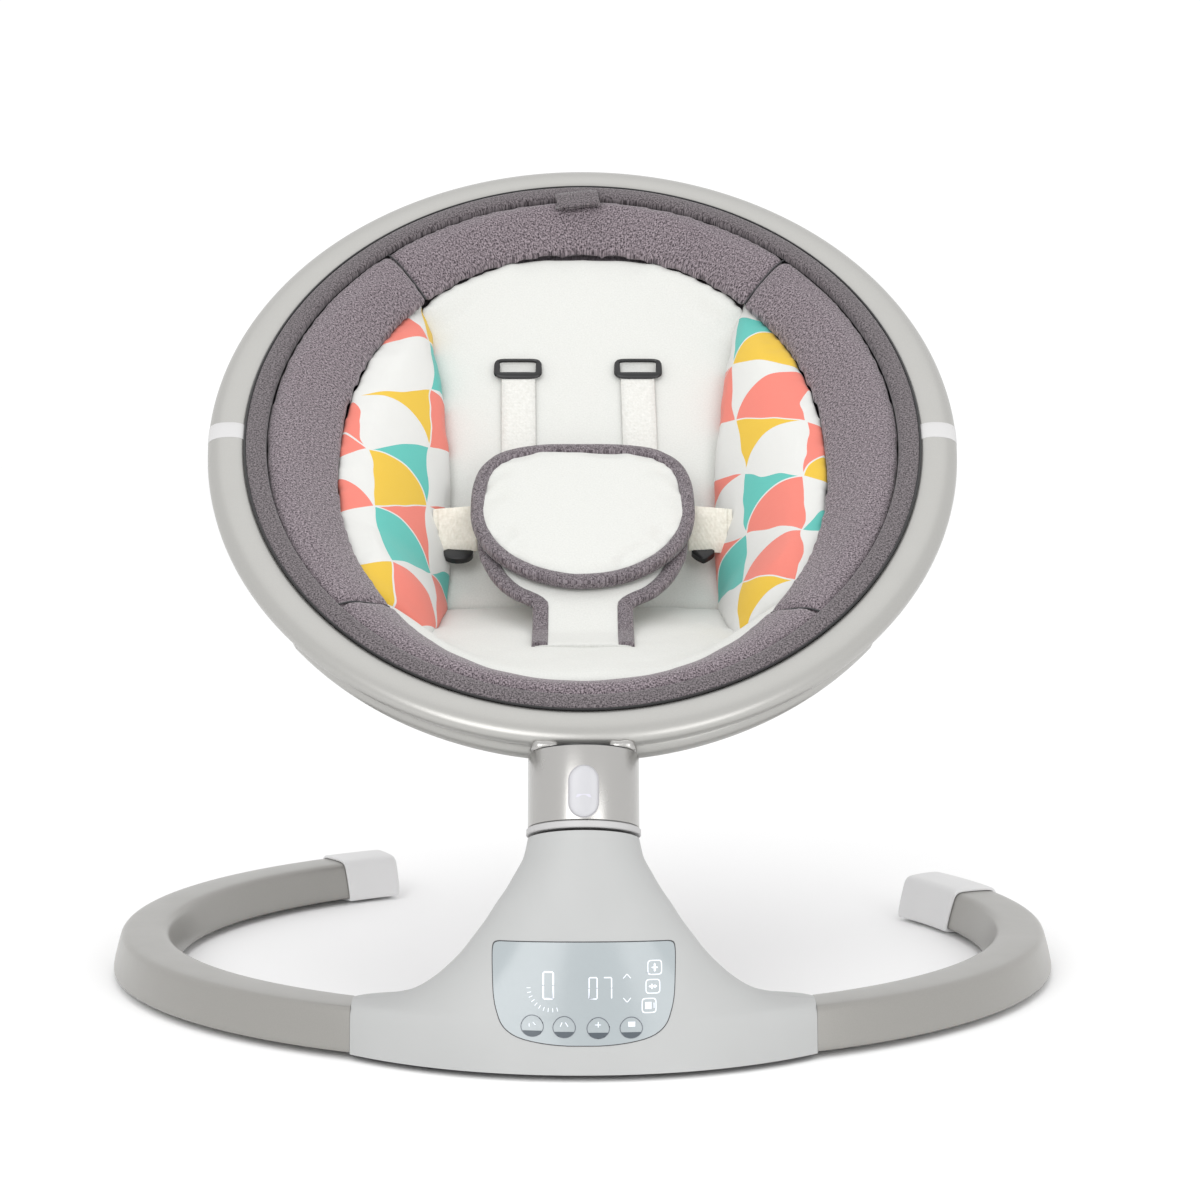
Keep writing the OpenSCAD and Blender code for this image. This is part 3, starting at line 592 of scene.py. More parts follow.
lit += [[px(646, 1000.5), px(652.5, 1000.5), px(652.5, 1007.5), px(646, 1007.5)], bar(655, 1001, 655, 1007, 1.0)]
DOTS = ((533, 1024), (565, 1025), (599, 1026), (632, 1026))
lit += [bar(530, 1020.5, 530, 1024.5, 1.0), bar(533.5, 1019, 536.5, 1022.5, 0.9), bar(561, 1024, 563, 1019, 1.0),
        bar(566, 1019, 569, 1024, 1.0), bar(595.5, 1022, 602, 1022, 1.0), bar(599, 1018.5, 599, 1025, 1.0),
        [px(629, 1019), px(636, 1019), px(636, 1024.5), px(629, 1024.5)]]
decal("display_figures", lit, M_GLOW)
rings, lows = [], []
for x, y in DOTS:
    for i in range(32):
        a, b = 2 * math.pi * i / 32, 2 * math.pi * (i + 1) / 32
        rings.append([px(x + r * math.cos(t), y + r * math.sin(t)) for r, t in ((11.6, a), (11.6, b), (10.9, b), (10.9, a))])
    lows.append([px(x + 10.9 * math.cos(math.radians(t)), y + 10.9 * math.sin(math.radians(t))) for t in range(25, 156, 10)])
decal("touch_rings", rings, M_MARK)
decal("touch_shades", lows, plastic("touch_shade", (0.06, 0.075, 0.09), 0.3))

# ---------------------------------------------------------------- turret and neck
lathe("turret_collar_visual", [(8, 1.25), (35.4, 1.25), (36, 1.8), (36, 4.9), (35.3, 5.55), (8, 5.55)], M_COLLAR, "turret",
      "turret_collar", slot="collar_plastic")
lathe("neck_sleeve_visual", [(33.6, 5.95), (34.5, 5.95), (35, 6.4), (35, 51.9), (34.5, 52.9), (33.6, 53)], M_NECK, "seat",
      "neck_sleeve", slot="neck_paint")


def stadium(w, l, n=20):
    r, c = w / 2, (l - w) / 2
    return [(r * math.cos(a), c + r * math.sin(a)) for a in (math.pi * i / n for i in range(n + 1))] + \
           [(-r * math.cos(a), -c - r * math.sin(a)) for a in (math.pi * i / n for i in range(n + 1))]


def button(name, w, l, levels, mat, body, *nodes, **kw):
    """Stadium that follows the neck's round: levels of (inset, radius)."""
    rows = []
    for inset, r in levels:
        rows.append([A(x, -math.sqrt(max(r * r - x * x, 1)), 23.6 + t) for x, t in stadium(w - 2 * inset, l - 2 * inset)])
    return loft(name, rows, mat, body, *nodes, **kw)


# painted shade: a mid-grey stadium just wider than the button, lying under it, seen as the dark gap round its edge
button("button_gap_shade", 19.2, 33.2, [(0, 34.6), (0, 35.1), (0.4, 35.16)], M_GAP_SHADE, "seat")
button("release_button_visual", 17.8, 31.8, [(0, 31), (0, 35.6), (0.35, 36.0), (1.2, 36.3), (4, 36.35), (7.5, 36.2)],
       M_BUTTON, "release_button", "release_button", slot="button_plastic")
rows = []
for k in range(5):
    v = k / 4
    rows.append([A(x, -math.sqrt(36.42 ** 2 - x * x), 23.6 + t) for x, t in ((-5 + 0.3 * k, -4 + 2 * v), (5 - 0.3 * k, -4 + 2 * v))])
plate("button_grip", rows, [[p - (A(0, -1, 0) - A(0, 0, 0)) * 0.5 for p in r] for r in rows],
      plastic("button_grip", (0.54, 0.53, 0.60), 0.4), "release_button")


def lump(name, x0, x1, mat, seed):
    """Welded knuckle between the neck's top and the ring tube."""
    rows = []
    for k in range(11):
        f = k / 10
        g = (1 - (2 * f - 1) ** 4) ** 0.25 if 0 < k < 10 else 0.02
        top = 61.5 + noise.noise(Vector((f * 3, seed, 0)))
        rows.append([A(lerp(x0, x1, f), 15.5 * (0.55 + 0.45 * g) * g * sp(math.cos(a), 3) - 1,
                       lerp(51.5, top, 0.5) + (top - 51.5) / 2 * g * sp(math.sin(a), 3) + 0.5 * noise.noise(Vector((f * 4, a, seed))))
                     for a in (2 * math.pi * j / 28 for j in range(28))])
    return rows


saddle = [[A(r * math.cos(2 * math.pi * j / 64), r * math.sin(2 * math.pi * j / 64), h) for j in range(64)]
          for r, h in ((32.5, 50), (33.4, 50.2), (33.4, 52.2), (32.6, 52.9))]
loft("neck_saddle_visual", saddle, M_NECK, "seat", "neck_saddle", slot="neck_paint")
# painted shade: a black disc in the gap between the neck's top and the ring tube, seen as a dark line between the
# knuckles where the gap lies in shade
lathe("neck_gap_shade_disc", [(0.5, 52.8), (31, 52.8), (31, 54.6), (0.5, 54.6)], M_BLACK, "seat")
loft("neck_lump_left", lump("l", -34, -14, M_NECK, 1.7), M_NECK, "seat", sharp=0)
loft("neck_lump_right", lump("r", 14, 34, M_NECK, 5.3), M_NECK, "seat", sharp=0)

# ---------------------------------------------------------------- seat ring
def oval(w, t, n=28, m=2.4):
    return [(w * sp(math.cos(2 * math.pi * j / n), m), t * sp(math.sin(2 * math.pi * j / n), m)) for j in range(n)]


def rrow(th, sec, dn=0.0):
    c, s = math.cos(th), math.sin(th)
    nn = Vector((c / RA, s / RB)).normalized()
    return [G(RA * c + nn.x * q, RB * s + nn.y * q, w + dn) for q, w in sec]


def th_s(s):
    return math.asin(s / RB)


def sweep(name, t0, t1, m, secs, mat, *nodes, **kw):
    return loft(name, [rrow(lerp(t0, t1, k / m), secs(k / m)) for k in range(m + 1)], mat, "seat", *nodes, **kw)


sweep("ring_tube_upper_visual", th_s(-9.45), math.pi - th_s(-9.45), 150, lambda f: oval(14, 7.5, 36), M_RING, "ring_tube_upper", slot="ring_paint")
sweep("ring_tube_lower_visual", th_s(-27.05), -math.pi - th_s(-27.05), 150, lambda f: oval(14, 7.5, 36), M_RING, "ring_tube_lower", slot="ring_paint")
for sx, nm in ((-1, "ring_joint_left"), (1, "ring_joint_right")):
    rows = []
    for s, g in ((-9.5, -0.5), (-9.6, 0.1), (-10, 0.25), (-14, 0.28), (-18, 0.28), (-22, 0.28), (-26.5, 0.25), (-26.9, 0.1), (-27, -0.5)):
        r = rrow(th_s(s), oval(14 + g, 7.5 + g, 36))
        rows.append([Vector((sx * p.x, p.y, p.z)) for p in r])
    loft(nm + "_visual", rows, M_JOINT, "seat", nm, slot="joint_plastic")
for sx, nm in ((-1, "support_tube_left"), (1, "support_tube_right")):
    rows = []
    for k in range(61):
        f = k / 60
        e = 1 - 0.25 * (1 - smooth(f, 0, 0.03)) - 0.35 * smooth(f, 0.95, 1.0)
        r = rrow(math.radians(lerp(-84.5, -41.5, f)), oval(8 * e, 8 * e, 20, 2), lerp(-17, -13.2, f * f))
        rows.append([Vector((sx * p.x, p.y, p.z)) for p in r])
    loft(nm + "_visual", rows, M_RING, "seat", nm, slot="ring_paint")

# ---------------------------------------------------------------- fabric: shapes, then cloth passes
def inner_w(s):
    return IA * max(0.0, 1 - (abs(s - IS) / IB) ** IM) ** (1 / IM)


def back_n(s):
    return IN - 87.0 * (250 - s) / 328


def seat_n(s):
    return -109 + 89.0 * (-80 - s) / 173


def side_w(s):
    return 97 + 29 * (s / 222) ** 1.6 if s > 0 else 97 + 4 * (-s / 134) ** 2


def set_uv(ob, f):
    me = ob.data
    lay = me.uv_layers.get("UVMap") or me.uv_layers.new(name="UVMap")
    uv = [f(local(v.co)) for v in me.vertices]
    for lp in me.loops:
        lay.data[lp.index].uv = uv[lp.vertex_index]


def flat_uv(q):
    return q[0] * MM, q[1] * MM


SOFT = []


def soft(ob, cap, voxel=0.005, pressure=4.0, pinned=None):
    """Queues a piece for the cloth pass."""
    SOFT.append((ob, cap, voxel, pressure, pinned))
    return ob


def run_cloth():
    """Voxel remesh, a pressure pass of Cloth, capped movement, one subdivision."""
    dg = bpy.context.evaluated_depsgraph_get
    for ob, cap, voxel, pressure, pinned in SOFT:
        md = ob.modifiers.new("remesh", "REMESH")
        md.mode, md.voxel_size = "VOXEL", voxel
        sm = ob.modifiers.new("even", "SMOOTH")
        sm.factor, sm.iterations = 0.5, 4
        me = bpy.data.meshes.new_from_object(ob.evaluated_get(dg()))
        ob.modifiers.clear()
        ob.data = me
        if pinned:
            vg = ob.vertex_groups.new(name="pin")
            for v in me.vertices:
                w = pinned(local(v.co))
                if w > 0:
                    vg.add([v.index], w, "REPLACE")
        cl = ob.modifiers.new("cloth", "CLOTH")
        st = cl.settings
        st.quality, st.mass = 4, 0.25
        st.tension_stiffness = st.compression_stiffness = 15
        st.shear_stiffness, st.bending_stiffness = 5, 0.4
        st.use_pressure, st.uniform_pressure_force = True, pressure
        st.effector_weights.gravity = 0
        if pinned:
            st.vertex_group_mass = "pin"
        cl.collision_settings.use_collision = False
        cl.point_cache.frame_start, cl.point_cache.frame_end = 1, 20
    before = [[v.co.copy() for v in ob.data.vertices] for ob, *_ in SOFT]
    for f in range(1, 21):
        scene.frame_set(f)
    done = []
    for (ob, cap, *_), start in zip(SOFT, before):
        me = bpy.data.meshes.new_from_object(ob.evaluated_get(dg()))
        for v, p in zip(me.vertices, start):
            d = v.co - p
            if d.length > cap:
                v.co = p + d * (cap / d.length)
        done.append(me)
    for (ob, *_), me in zip(SOFT, done):
        ob.modifiers.clear()
        ob.vertex_groups.clear()
        ob.data = me
    scene.frame_set(1)
    for ob, *_ in SOFT:
        md = ob.modifiers.new("sub", "SUBSURF")
        md.levels = md.render_levels = 1
        me = bpy.data.meshes.new_from_object(ob.evaluated_get(dg()))
        ob.modifiers.clear()
        ob.data = me
        me.shade_smooth()


def moved(ob, f):
    """Moves each point of a soft piece by f(u, s, n), an offset in seat coordinates."""
    for v in ob.data.vertices:
        u, s, n = local(v.co)
        du, ds, dn = f(u, s, n)
        v.co = G(u + du, s + ds, n + dn)


def nz(x, y, z=0.0):
    return noise.noise(Vector((x, y, z)))


# binding: a stuffed roll with a black piping against the tube
BSEC = [(-27.6, -0.2), (-14.5, -0.2), (-14.3, 2.4), (-13.2, 4.4), (-13.2, 6.0), (-15.4, 7.1), (-21, 7.3), (-25.6, 6.8), (-27.3, 5.2), (-27.8, 2.4)]
rows = []
for k in range(240):
    th = 2 * math.pi * k / 240
    w = 0.25 * nz(6 * math.cos(th) + 9, 6 * math.sin(th)) + 0.15 * nz(30 * math.cos(th), 30 * math.sin(th))
    rows.append(rrow(th, [(q, n + (w if n > 0 else 0)) for q, n in chaikin(BSEC, 1)]))
bind = loft("rim_binding_visual", rows, M_BIND, "seat", "rim_binding", ring=True, slot="binding_fabric")
set_uv(bind, flat_uv)
rows = [rrow(2 * math.pi * k / 240, [(-12.5 + 0.85 * math.cos(a), 6.0 + 0.85 * math.sin(a)) for a in
                                    (2 * math.pi * j / 8 for j in range(8))]) for k in range(240)]
loft("rim_piping", rows, M_BLACK, "seat", ring=True)

# grey pads round the rim
PTOP = [(0, 1.5), (0.03, 3.6), (0.1, 4.6), (0.22, 4.6), (0.38, 2.6), (0.54, -1.6), (0.7, -6.4), (0.84, -11.2), (0.95, -15.2), (1.02, -18)]
PBOT = [(1.02, -26), (0.85, -23.5), (0.65, -19), (0.45, -15), (0.25, -12), (0.08, -9), (0, -7)]


def pad_xy(t, v):
    c, s = math.cos(t), math.sin(t)
    nn = Vector((c / RA, s / RB)).normalized()
    o = (RA * c - 26.6 * nn.x, RB * s - 26.6 * nn.y)
    i = (IA * sp(c, IM), IS + IB * sp(s, IM))
    return lerp(o[0], i[0], v), lerp(o[1], i[1], v)


def pad(name, t0, t1):
    m = int(abs(t1 - t0) * 1.0)
    rows = []
    for k in range(m + 1):
        f = k / m
        t = math.radians(lerp(t0 - 0.35, t1 + 0.35, f))
        e = min(f, 1 - f) * abs(t1 - t0) * 4.6          # distance from the end seam, mm
        pinch = 1 - 0.5 * (1 - clamp(e / 7)) ** 2
        mid = lambda v: (-3 - 19 * v)
        row = []
        for v, n in PTOP + PBOT:
            x, y = pad_xy(t, v)
            row.append(G(x, y, mid(v) + (n - mid(v)) * pinch))
        rows.append(row)
    ob = loft(name + "_visual", rows, M_GREY, "seat", name, slot="pad_fabric", sharp=0)
    return soft(ob, 0.0012, 0.004, 2.5)


# painted shade: a thin dark tube laid along the joint between two pads, standing for the shade in the crease there
def seam_shade_line(name, t):
    rows = []
    for k in range(41):
        v = k / 40
        x, y = pad_xy(math.radians(t), v)
        mid = -3 - 19 * v
        n = mid + (table(v, PTOP, 1) - mid) * 0.6 + 0.2
        rows.append([G(x + 0.55 * math.cos(a) * math.sin(math.radians(t)), y - 0.55 * math.cos(a) * math.cos(math.radians(t)), n + 0.8 * math.sin(a))
                     for a in (2 * math.pi * j / 8 for j in range(8))])
    return loft(name, rows, M_DARK, "seat", sharp=0)


# painted shade lines in the four creases between the pads
for k, t in enumerate((45, 133, 223, 315)):
    seam_shade_line("pad_seam_shade_%d" % k, t)

pads = [pad("pad_top", 45, 133), pad("pad_left", 133, 223), pad("pad_bottom", 223, 315), pad("pad_right", 315, 405)]


def wide_w(s, g):
    """Half width of the opening grown by g."""
    return (IA + g) * max(0.0, 1 - (abs(s - IS) / (IB + g)) ** IM) ** (1 / IM)


def panel(name, s0, s1, nf, th, m, cap, blend):
    top, bot = [], []
    for k in range(m + 1):
        s = lerp(s0, s1, k / m)
        far = smooth(abs(s), *blend)
        w = max(8.0, min(side_w(s) + 14 + 90 * far, wide_w(s, 7)))
        e = clamp(min(k, m - k) / 2) ** 0.5
        a, b = [], []
        for i in range(-26, 27):
            q = i / 26
            g = clamp((1 - abs(q)) / 0.05) ** 0.5
            z = nf(s) + 2.4 * (1 - q * q) * g
            z = lerp(z, -21.5, far * smooth(abs(w * q), wide_w(s, 0) - (42 if s < 0 else 30), wide_w(s, 0)))
            a.append(G(w * q, s, z - th * 0.5 * (1 - g * (0.3 + 0.7 * e))))
            b.append(G(w * q, s, z - th * 0.5 - th * 0.5 * g * (0.3 + 0.7 * e)))
        top.append(a)
        bot.append(b)
    return soft(plate(name + "_visual", top, bot, M_WHITE, "seat", name, slot="white_fabric", sharp=0), cap, 0.006, 2.5)


back = panel("back_panel", -84, 254.5, back_n, 12, 68, 0.0015, (168, 188))
seatp = panel("seat_panel", -76, -261, seat_n, 12, 40, 0.002, (135, 168))


def bolster(name, sx, mat):
    rows = []
    m = 64
    for k in range(m + 1):
        s = lerp(-158, 190, k / m)
        uo, ui = wide_w(s, 5), min(side_w(s) - 2, wide_w(s, -3))
        nd = back_n(s) if s > -78 else seat_n(s)
        na = -19.5
        kk = max(0.06, clamp((uo - ui - 6) / 54)) * (0.25 + 0.75 * clamp(min(k, m - k) / 5) ** 0.5)
        d = Vector((uo - ui, na - nd)).normalized()
        b = Vector((-d.y, d.x))
        o, i = Vector((uo, na)), Vector((ui, nd + 1))
        pts = [o.lerp(i, v) + b * (12 * kk * math.sin(math.pi * v ** 0.85) ** 0.75) for v in
               [0, 0.03, 0.09, 0.18, 0.3, 0.42, 0.54, 0.66, 0.78, 0.88, 0.95, 1]]
        pts += [Vector((ui + 3 * kk, nd - 8 * kk - 1)), (o + i) / 2 + Vector((8 * kk, -13 * kk - 3)), Vector((uo + 0.6, na - 9))]
        rows.append([G(sx * p.x, s, p.y) for p in pts])
    ob = loft(name + "_visual", rows, mat, "seat", name, slot="print_fabric", sharp=0)
    return soft(ob, 0.0035, 0.005, 3.5)


bol_l = bolster("bolster_left", -1, M_FAN_L)
bol_r = bolster("bolster_right", 1, M_FAN_R)

# harness pad: a stuffed oval, flatter along its top
def pad_outline(a, grow=0.0, lift=0.0):
    c, s = math.cos(a), math.sin(a)
    m = 3.5 if s > 0 else 1.95
    return (81.5 + grow) * sp(c, m), -40 + ((78.5 if s > 0 else 81.0) + grow) * sp(s, m)


def disc(name, levels, mat, *nodes, n=72, **kw):
    """Pad from rings of its outline: levels of (size, n)."""
    rows = []
    for k, h in levels:
        rows.append([G(pad_outline(2 * math.pi * j / n)[0] * k, -40 + (pad_outline(2 * math.pi * j / n)[1] + 40) * k, h)
                     for j in range(n)])
    return loft(name, rows, mat, "seat", *nodes, **kw)


hp = disc("harness_pad_visual", [(0.02, -57.4), (0.3, -57.6), (0.6, -57.6), (0.8, -57.4), (0.92, -56), (0.955, -53), (0.93, -50.2),
                                 (0.82, -48.2), (0.62, -47.2), (0.35, -46.6), (0.02, -46.5)], M_WHITE, "harness_pad",
          slot="white_fabric", sharp=0)
soft(hp, 0.002, 0.0045, 3)
run_cloth()

# surface moves after the pass: small draws and folds that the photograph shows
def draw_pad(u, s, n):
    r = math.hypot(u / 200, (s + 4) / 270)
    a = math.atan2(s, u)
    f = 0.3 * nz(u / 45, s / 45, 3) + 0.12 * nz(u / 16, s / 16, 7)
    top = smooth(s, 230, 270) * math.exp(-((u + 4) / 26) ** 2)
    return 0, 0, f - 0.9 * top * abs(math.sin(u / 5.5)) + (0.55 * math.sin(a * 46) * smooth(-s, 195, 235) * smooth(1.02 - r, 0, 0.12))


for ob in pads:
    moved(ob, draw_pad)
    set_uv(ob, flat_uv)


def draw_back(u, s, n):
    f = 0.45 * nz(u / 60, s / 60, 1) + 0.15 * nz(u / 22, s / 26, 5)
    return 0, 0, f - 1.2 * math.exp(-((s - 236) / 9) ** 2) * abs(math.sin(u / 9))


def draw_seat(u, s, n):
    f = 0.8 * nz(u / 34, s / 26, 2) + 0.35 * nz(u / 13, s / 15, 8)
    return 0, 0, f * smooth(-s, 85, 120)


moved(back, draw_back)
moved(seatp, draw_seat)
for ob in (back, seatp, hp):
    set_uv(ob, flat_uv)
for ob, sx in ((bol_l, -1), (bol_r, 1)):
    moved(ob, lambda u, s, n: (0.6 * nz(s / 30, n / 30, u / 40), 0, 0.8 * nz(s / 40, n / 40, 9)))
    set_uv(ob, lambda q, sx=sx: (sx * (abs(q[0]) * 0.62 + q[2] * 0.79) * MM, q[1] * MM))

# grey tape round the harness pad and down the crotch piece
def tape(name, path, width, thick, mat, closed, normal=None):
    """Flat rounded band along a path of (u, s, n) points."""
    m = len(path)
    rows = []
    for i in range(m):
        a = Vector(path[(i - 1) % m if closed else max(i - 1, 0)])
        b = Vector(path[(i + 1) % m if closed else min(i + 1, m - 1)])
        t = (b - a).normalized()
        side = t.cross(Vector((0, 0, 1))).normalized()
        up = side.cross(t)
        c = Vector(path[i])
        rows.append([G(*(c + side * (width / 2 * x) + up * (thick / 2 * y))) for x, y in
                     ((-1, 0), (-0.93, 0.62), (-0.72, 0.95), (0, 1.08), (0.72, 0.95), (0.93, 0.62), (1, 0), (0.93, -0.62), (0.72, -0.95),
                      (0, -1), (-0.72, -0.95), (-0.93, -0.62))])
    ob = loft(name, rows, mat, "seat", ring=closed, sharp=0)
    set_uv(ob, flat_uv)
    return ob


ring = []
for j in range(120):
    a = 2 * math.pi * j / 120
    u, s = pad_outline(a, -5.2 + 0.35 * nz(4 * math.cos(a), 4 * math.sin(a), 2))
    ring.append((u, s, -52.3 + 0.4 * nz(5 * math.cos(a), 5 * math.sin(a), 6)))
tape("harness_pad_tape", ring, 10.6, 8.0, M_TAPE, True)

CR = [(-189, 35), (-132, 35), (-126, 40), (-118, 52), (-106, 62), (-92, 69), (-72, 75), (-40, 76), (-10, 71), (25, 46)]
CN = [(-189, -50, 4), (-180, -54.6, 4.5), (-170, -59.8, 5), (-160, -64.4, 6), (-150, -65.3, 6.5), (30, -65.3, 6.5)]


def crotch_grid(up):
    g = []
    for k in range(65):
        s = lerp(-188.5, 24.5, k / 64)
        w, n0, th = table(s, CR, 1) - 2, table(s, CN, 1), table(s, CN, 2)
        g.append([G(w * q / 12, s, n0 + up * (th - 0.8) * (1 - 0.45 * (q / 12) ** 4) + 0.4 + (0.25 * nz(q / 3, s / 20) if up else 0))
                  for q in range(-12, 13)])
    return g


crotch = plate("crotch_piece_visual", crotch_grid(1), crotch_grid(0), M_WHITE, "seat", "crotch_piece", slot="white_fabric", sharp=0)
set_uv(crotch, flat_uv)
for sx, nm in ((-1, "left"), (1, "right")):
    pts = []
    for k in range(49):
        s = lerp(-188, -52, k / 48)
        pts.append((sx * (table(s, CR, 1) - 5.4), s, table(s, CN, 1) + table(s, CN, 2) - 2.4))
    tape("crotch_tape_" + nm, pts, 11.4, 6.2, M_TAPE, False)

# webbing, guides and adjusters
def strap(name, path, width, thick, mat, *nodes, slot=None, flat=None):
    """Strip along (centre, across) pairs of points in seat coordinates."""
    m = len(path)
    rows = []
    for i in range(m):
        c, w = Vector(path[i][0]), Vector(path[i][1]).normalized()
        t = (Vector(path[min(i + 1, m - 1)][0]) - Vector(path[max(i - 1, 0)][0])).normalized()
        up = w.cross(t).normalized()
        rows.append([G(*(c + w * (width / 2 * x) + up * (thick / 2 * y))) for x, y in
                     ((-1, 0), (-0.97, 0.9), (-0.5, 1), (0, 1), (0.5, 1), (0.97, 0.9), (1, 0), (0.97, -0.9), (0.5, -1), (0, -1), (-0.5, -1), (-0.97, -0.9))])
    ob = loft(name, rows, mat, "seat", *nodes, slot=slot, sharp=0)
    set_uv(ob, flat_uv)
    return ob


for sx, nm, u in ((-1, "left", -49), (1, "right", 43)):
    path = []
    for k in range(34):
        s = lerp(21, 122, k / 33)
        path.append(((u + 0.6 * math.sin(s / 30), s, back_n(s) + 6.4 + 0.4 * math.sin(s / 13) * smooth(s, 30, 60)), (1, 0, 0)))
    st = strap("shoulder_strap_" + nm, path, 26, 1.4, M_WEB, *(["shoulder_straps"] if sx < 0 else []), slot="webbing_white")


def frame_piece(name, u0, mat, *nodes, **kw):
    """Rounded rectangular loop that the webbing comes out of."""
    rows = []
    n = 48
    for j in range(n):
        a = 2 * math.pi * j / n
        c, s = sp(math.cos(a), 6), sp(math.sin(a), 6)
        cx, cy = 16.2 * c, 7.4 * s
        d = Vector((math.copysign(abs(c) ** 3, c), math.copysign(abs(s) ** 3, s))).normalized()
        row = []
        rr = 2.4 + 1.0 * max(0.0, -d.y) - 1.1 * max(0.0, d.y)
        for i in range(8):
            t = 2 * math.pi * i / 8
            x, y, h = cx + d.x * rr * math.cos(t), cy + d.y * rr * math.cos(t), 1.7 * math.sin(t)
            s0 = 130.0 + y * math.cos(math.radians(15)) - h * math.sin(math.radians(15))
            n0 = back_n(132.5) + 7.0 + y * math.sin(math.radians(15)) + h * math.cos(math.radians(15))
            row.append(G(u0 + x, s0, n0))
        rows.append(row)
    return loft(name, rows, mat, "seat", *nodes, ring=True, **kw)


frame_piece("strap_guide_left", -50, M_BLACK, "strap_guides", slot="guide_plastic")
frame_piece("strap_guide_right", 43, M_BLACK, slot="guide_plastic")

for sx, nm in ((-1, "left"), (1, "right")):
    path, w = [], Vector((0, 0.66, 0.75))
    turns = [(72.5, -2.6), (85, -2.7), (98, -2.6), (103.5, -2.3), (105.2, -1.3), (103.5, -0.3), (96, -0.1), (84, 0), (78.6, 0.3),
             (77.6, 1.1), (78.6, 1.9), (88, 2.1), (97, 2.0), (101.5, 1.5)]
    for u, h in chaikin(turns + [(102, 1.4)], 2)[2:-2]:
        path.append(((sx * (u * 1.16 - 12.5), -36 - 0.75 * h, lerp(-70.0, -73.0, clamp((u - 80) / 26)) + 0.66 * h), w))
    st = strap("waist_strap_" + nm, path, 33, 1.5, M_CREAM, *(["waist_straps"] if sx < 0 else []), slot="webbing_cream")
    rows = []
    for h, g in ((-86, 0.86), (-85.4, 1), (-81, 1), (-80.2, 0.86)):
        a, c = ((10.8, 91), (8.4, 88))[sx > 0]
        rows.append([G(sx * c + a * g * sp(math.cos(2 * math.pi * j / 40), 3 if j < 20 else (2.2, 1.3)[sx > 0]),
                       -49 + (3.0 if j < 20 else 8.6) * g * sp(math.sin(2 * math.pi * j / 40), 3 if j < 20 else (2.2, 1.3)[sx > 0]), h)
                     for j in range(40)])
    loft("waist_adjuster_" + nm, rows, M_BLACK, "seat", *(["waist_adjusters"] if sx < 0 else []), slot="guide_plastic")

# loop at the head end: a ribbon folded flat over the rim
path = []
for u, h in chaikin([(-15, 8.0), (-6, 8.6), (4, 8.8), (11, 8.7), (13.4, 9.3), (11, 10.3), (2, 10.9), (-8, 10.8), (-17, 9.8), (-21, 8.9)], 2):
    path.append(((u, 282 + 0.16 * (u + 6) + 0.6 * math.sin(u / 4), h), (-0.16 if h > 9 else 0.22, 1, 0.05)))
tl = strap("top_loop_visual", path, 20, 1.2, M_BIND, "top_loop", slot="binding_fabric")

# ---------------------------------------------------------------- outer bag
BS = [(-8.0, 229.6, 294.2, 0), (-24, 226, 276, -2), (-42, 219, 252, -8), (-60, 208, 222, -20),
      (-80, 190, 178, -42), (-102, 164, 132, -62), (-122, 130, 92, -74), (-134, 84, 52, -78), (-138, 30, 18, -78)]


def bag_rows(off):
    rows = []
    for k in range(57):
        f = k / 56
        n0 = lerp(-8.0, -138, f ** 0.75) if f < 1 else -138
        a, b, s0 = table(n0, BS, 1) - off, table(n0, BS, 2) - off, table(n0, BS, 3)
        row = []
        for j in range(144):
            t = 2 * math.pi * j / 144
            g = 0.8 * math.sin(t * 38) * (1 - smooth(f, 0.02, 0.35)) + 1.4 * nz(2 * math.cos(t), 2 * math.sin(t), 3 * f) * smooth(f, 0.05, 0.3)
            row.append(G((a + g - 0.8) * math.cos(t), s0 + (b + g - 0.8) * math.sin(t), n0 + (off if k else 0)))
        rows.append(row)
    return rows


bag = loft("seat_bag_visual", bag_rows(1.4)[::-1] + bag_rows(0.0), M_BAG, "seat", "seat_bag", slot="bag_fabric", sharp=0)
set_uv(bag, flat_uv)

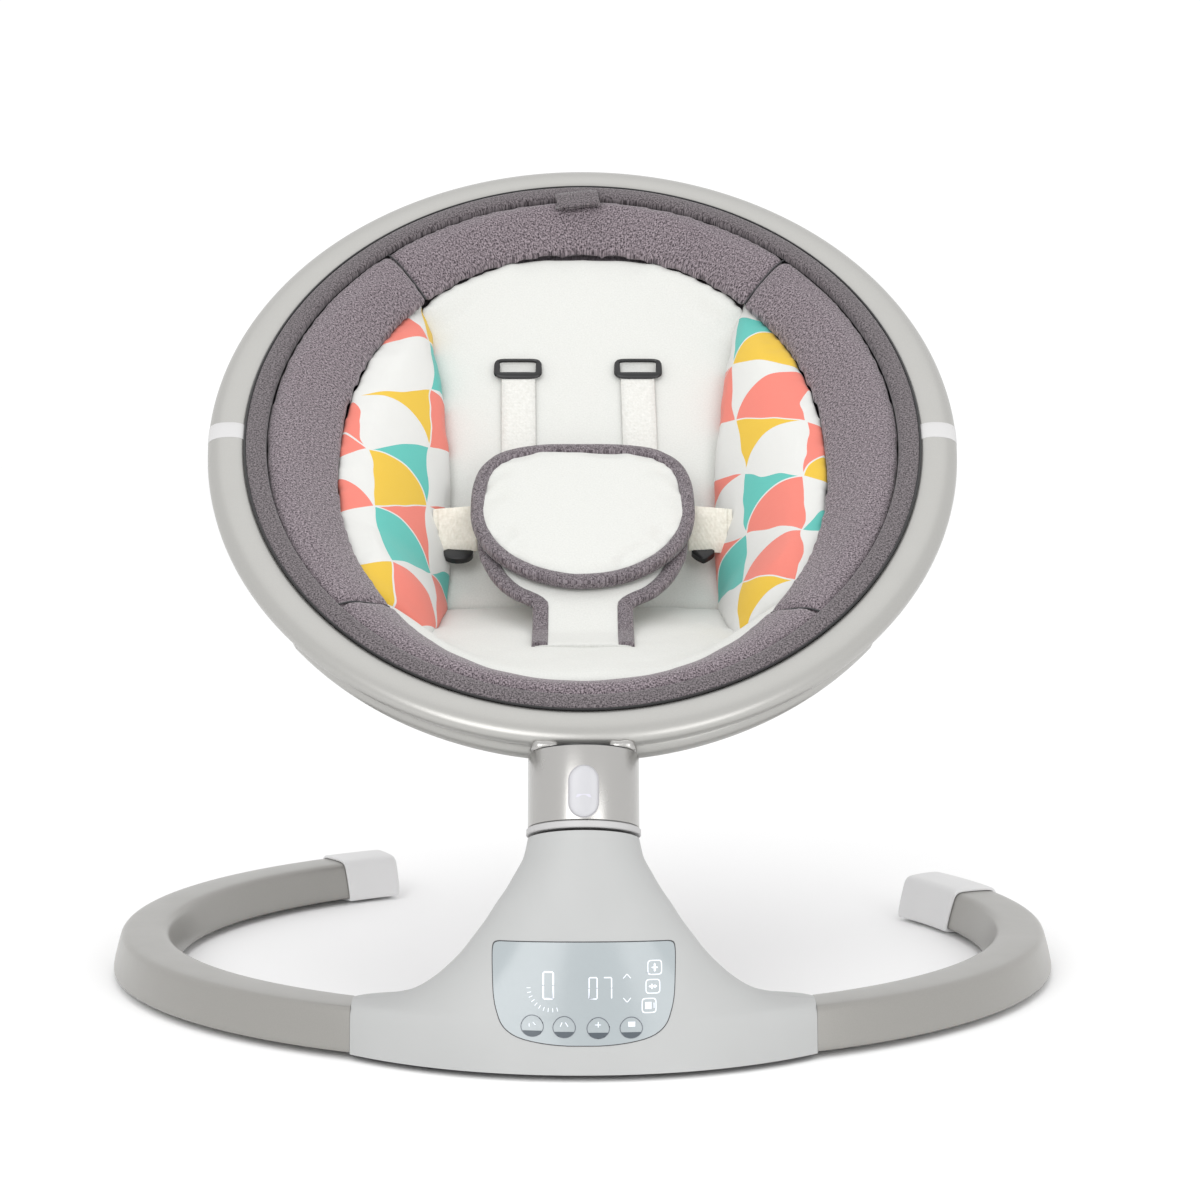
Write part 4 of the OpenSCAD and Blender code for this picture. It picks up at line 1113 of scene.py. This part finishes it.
# ---------------------------------------------------------------- floor, light, camera
def stage_mat():
    m, nt, b = node_mat("stage_floor")
    N = Net(nt)
    o = N.node("ShaderNodeTexCoord").outputs["Object"]
    N.put(b.inputs["Base Color"], N.ramp(N.noise(o, 3, 2), [(0.3, (0.95, 0.95, 0.95)), (0.7, (0.96, 0.96, 0.96))]))
    b.inputs["Roughness"].default_value = 0.85
    b.inputs["Specular IOR Level"].default_value = 0.1
    return m


me = bpy.data.meshes.new("stage_floor")
me.from_pydata([(-9, -9, 0), (9, -9, 0), (9, 9, 0), (-9, 9, 0)], [], [(0, 1, 2, 3)])
floor = bpy.data.objects.new("stage_floor", me)
me.materials.append(stage_mat())
scene.collection.objects.link(floor)

world = bpy.data.worlds.new("studio")
scene.world = world
world.use_nodes = True
world.node_tree.nodes["Background"].inputs[0].default_value = (1, 1, 1, 1)
world.node_tree.nodes["Background"].inputs[1].default_value = 1.06


def area(name, loc, target, size, power):
    li = bpy.data.lights.new(name, "AREA")
    li.shape, li.size, li.size_y, li.energy = "RECTANGLE", size[0], size[1], power
    ob = bpy.data.objects.new(name, li)
    ob.location = loc
    ob.rotation_euler = (Vector(target) - Vector(loc)).to_track_quat("-Z", "Y").to_euler()
    scene.collection.objects.link(ob)
    return ob


area("key", (-0.9, -2.3, 1.5), (0, 0, 0.35), (1.4, 1.4), 20)
area("fill", (1.2, -2.2, 0.9), (0, 0, 0.3), (1.2, 1.4), 12)
area("top", (0.0, 0.3, 2.4), (0, 0, 0.3), (2.0, 1.4), 4)

cam = bpy.data.cameras.new("camera")
cam.sensor_width, cam.lens = 36, 2591 / 1200 * 36
cam_ob = bpy.data.objects.new("camera", cam)
scene.collection.objects.link(cam_ob)
PITCH, YAW, DIST, AIM = math.radians(5.22), math.radians(-0.46), 1.85, Vector((0.0122, 0, 0.2614))
cam_ob.location = AIM + DIST * Vector((math.sin(YAW) * math.cos(PITCH), -math.cos(YAW) * math.cos(PITCH), math.sin(PITCH)))
cam_ob.rotation_euler = (AIM - cam_ob.location).to_track_quat("-Z", "Y").to_euler()
scene.camera = cam_ob
scene.view_settings.view_transform = "Standard"
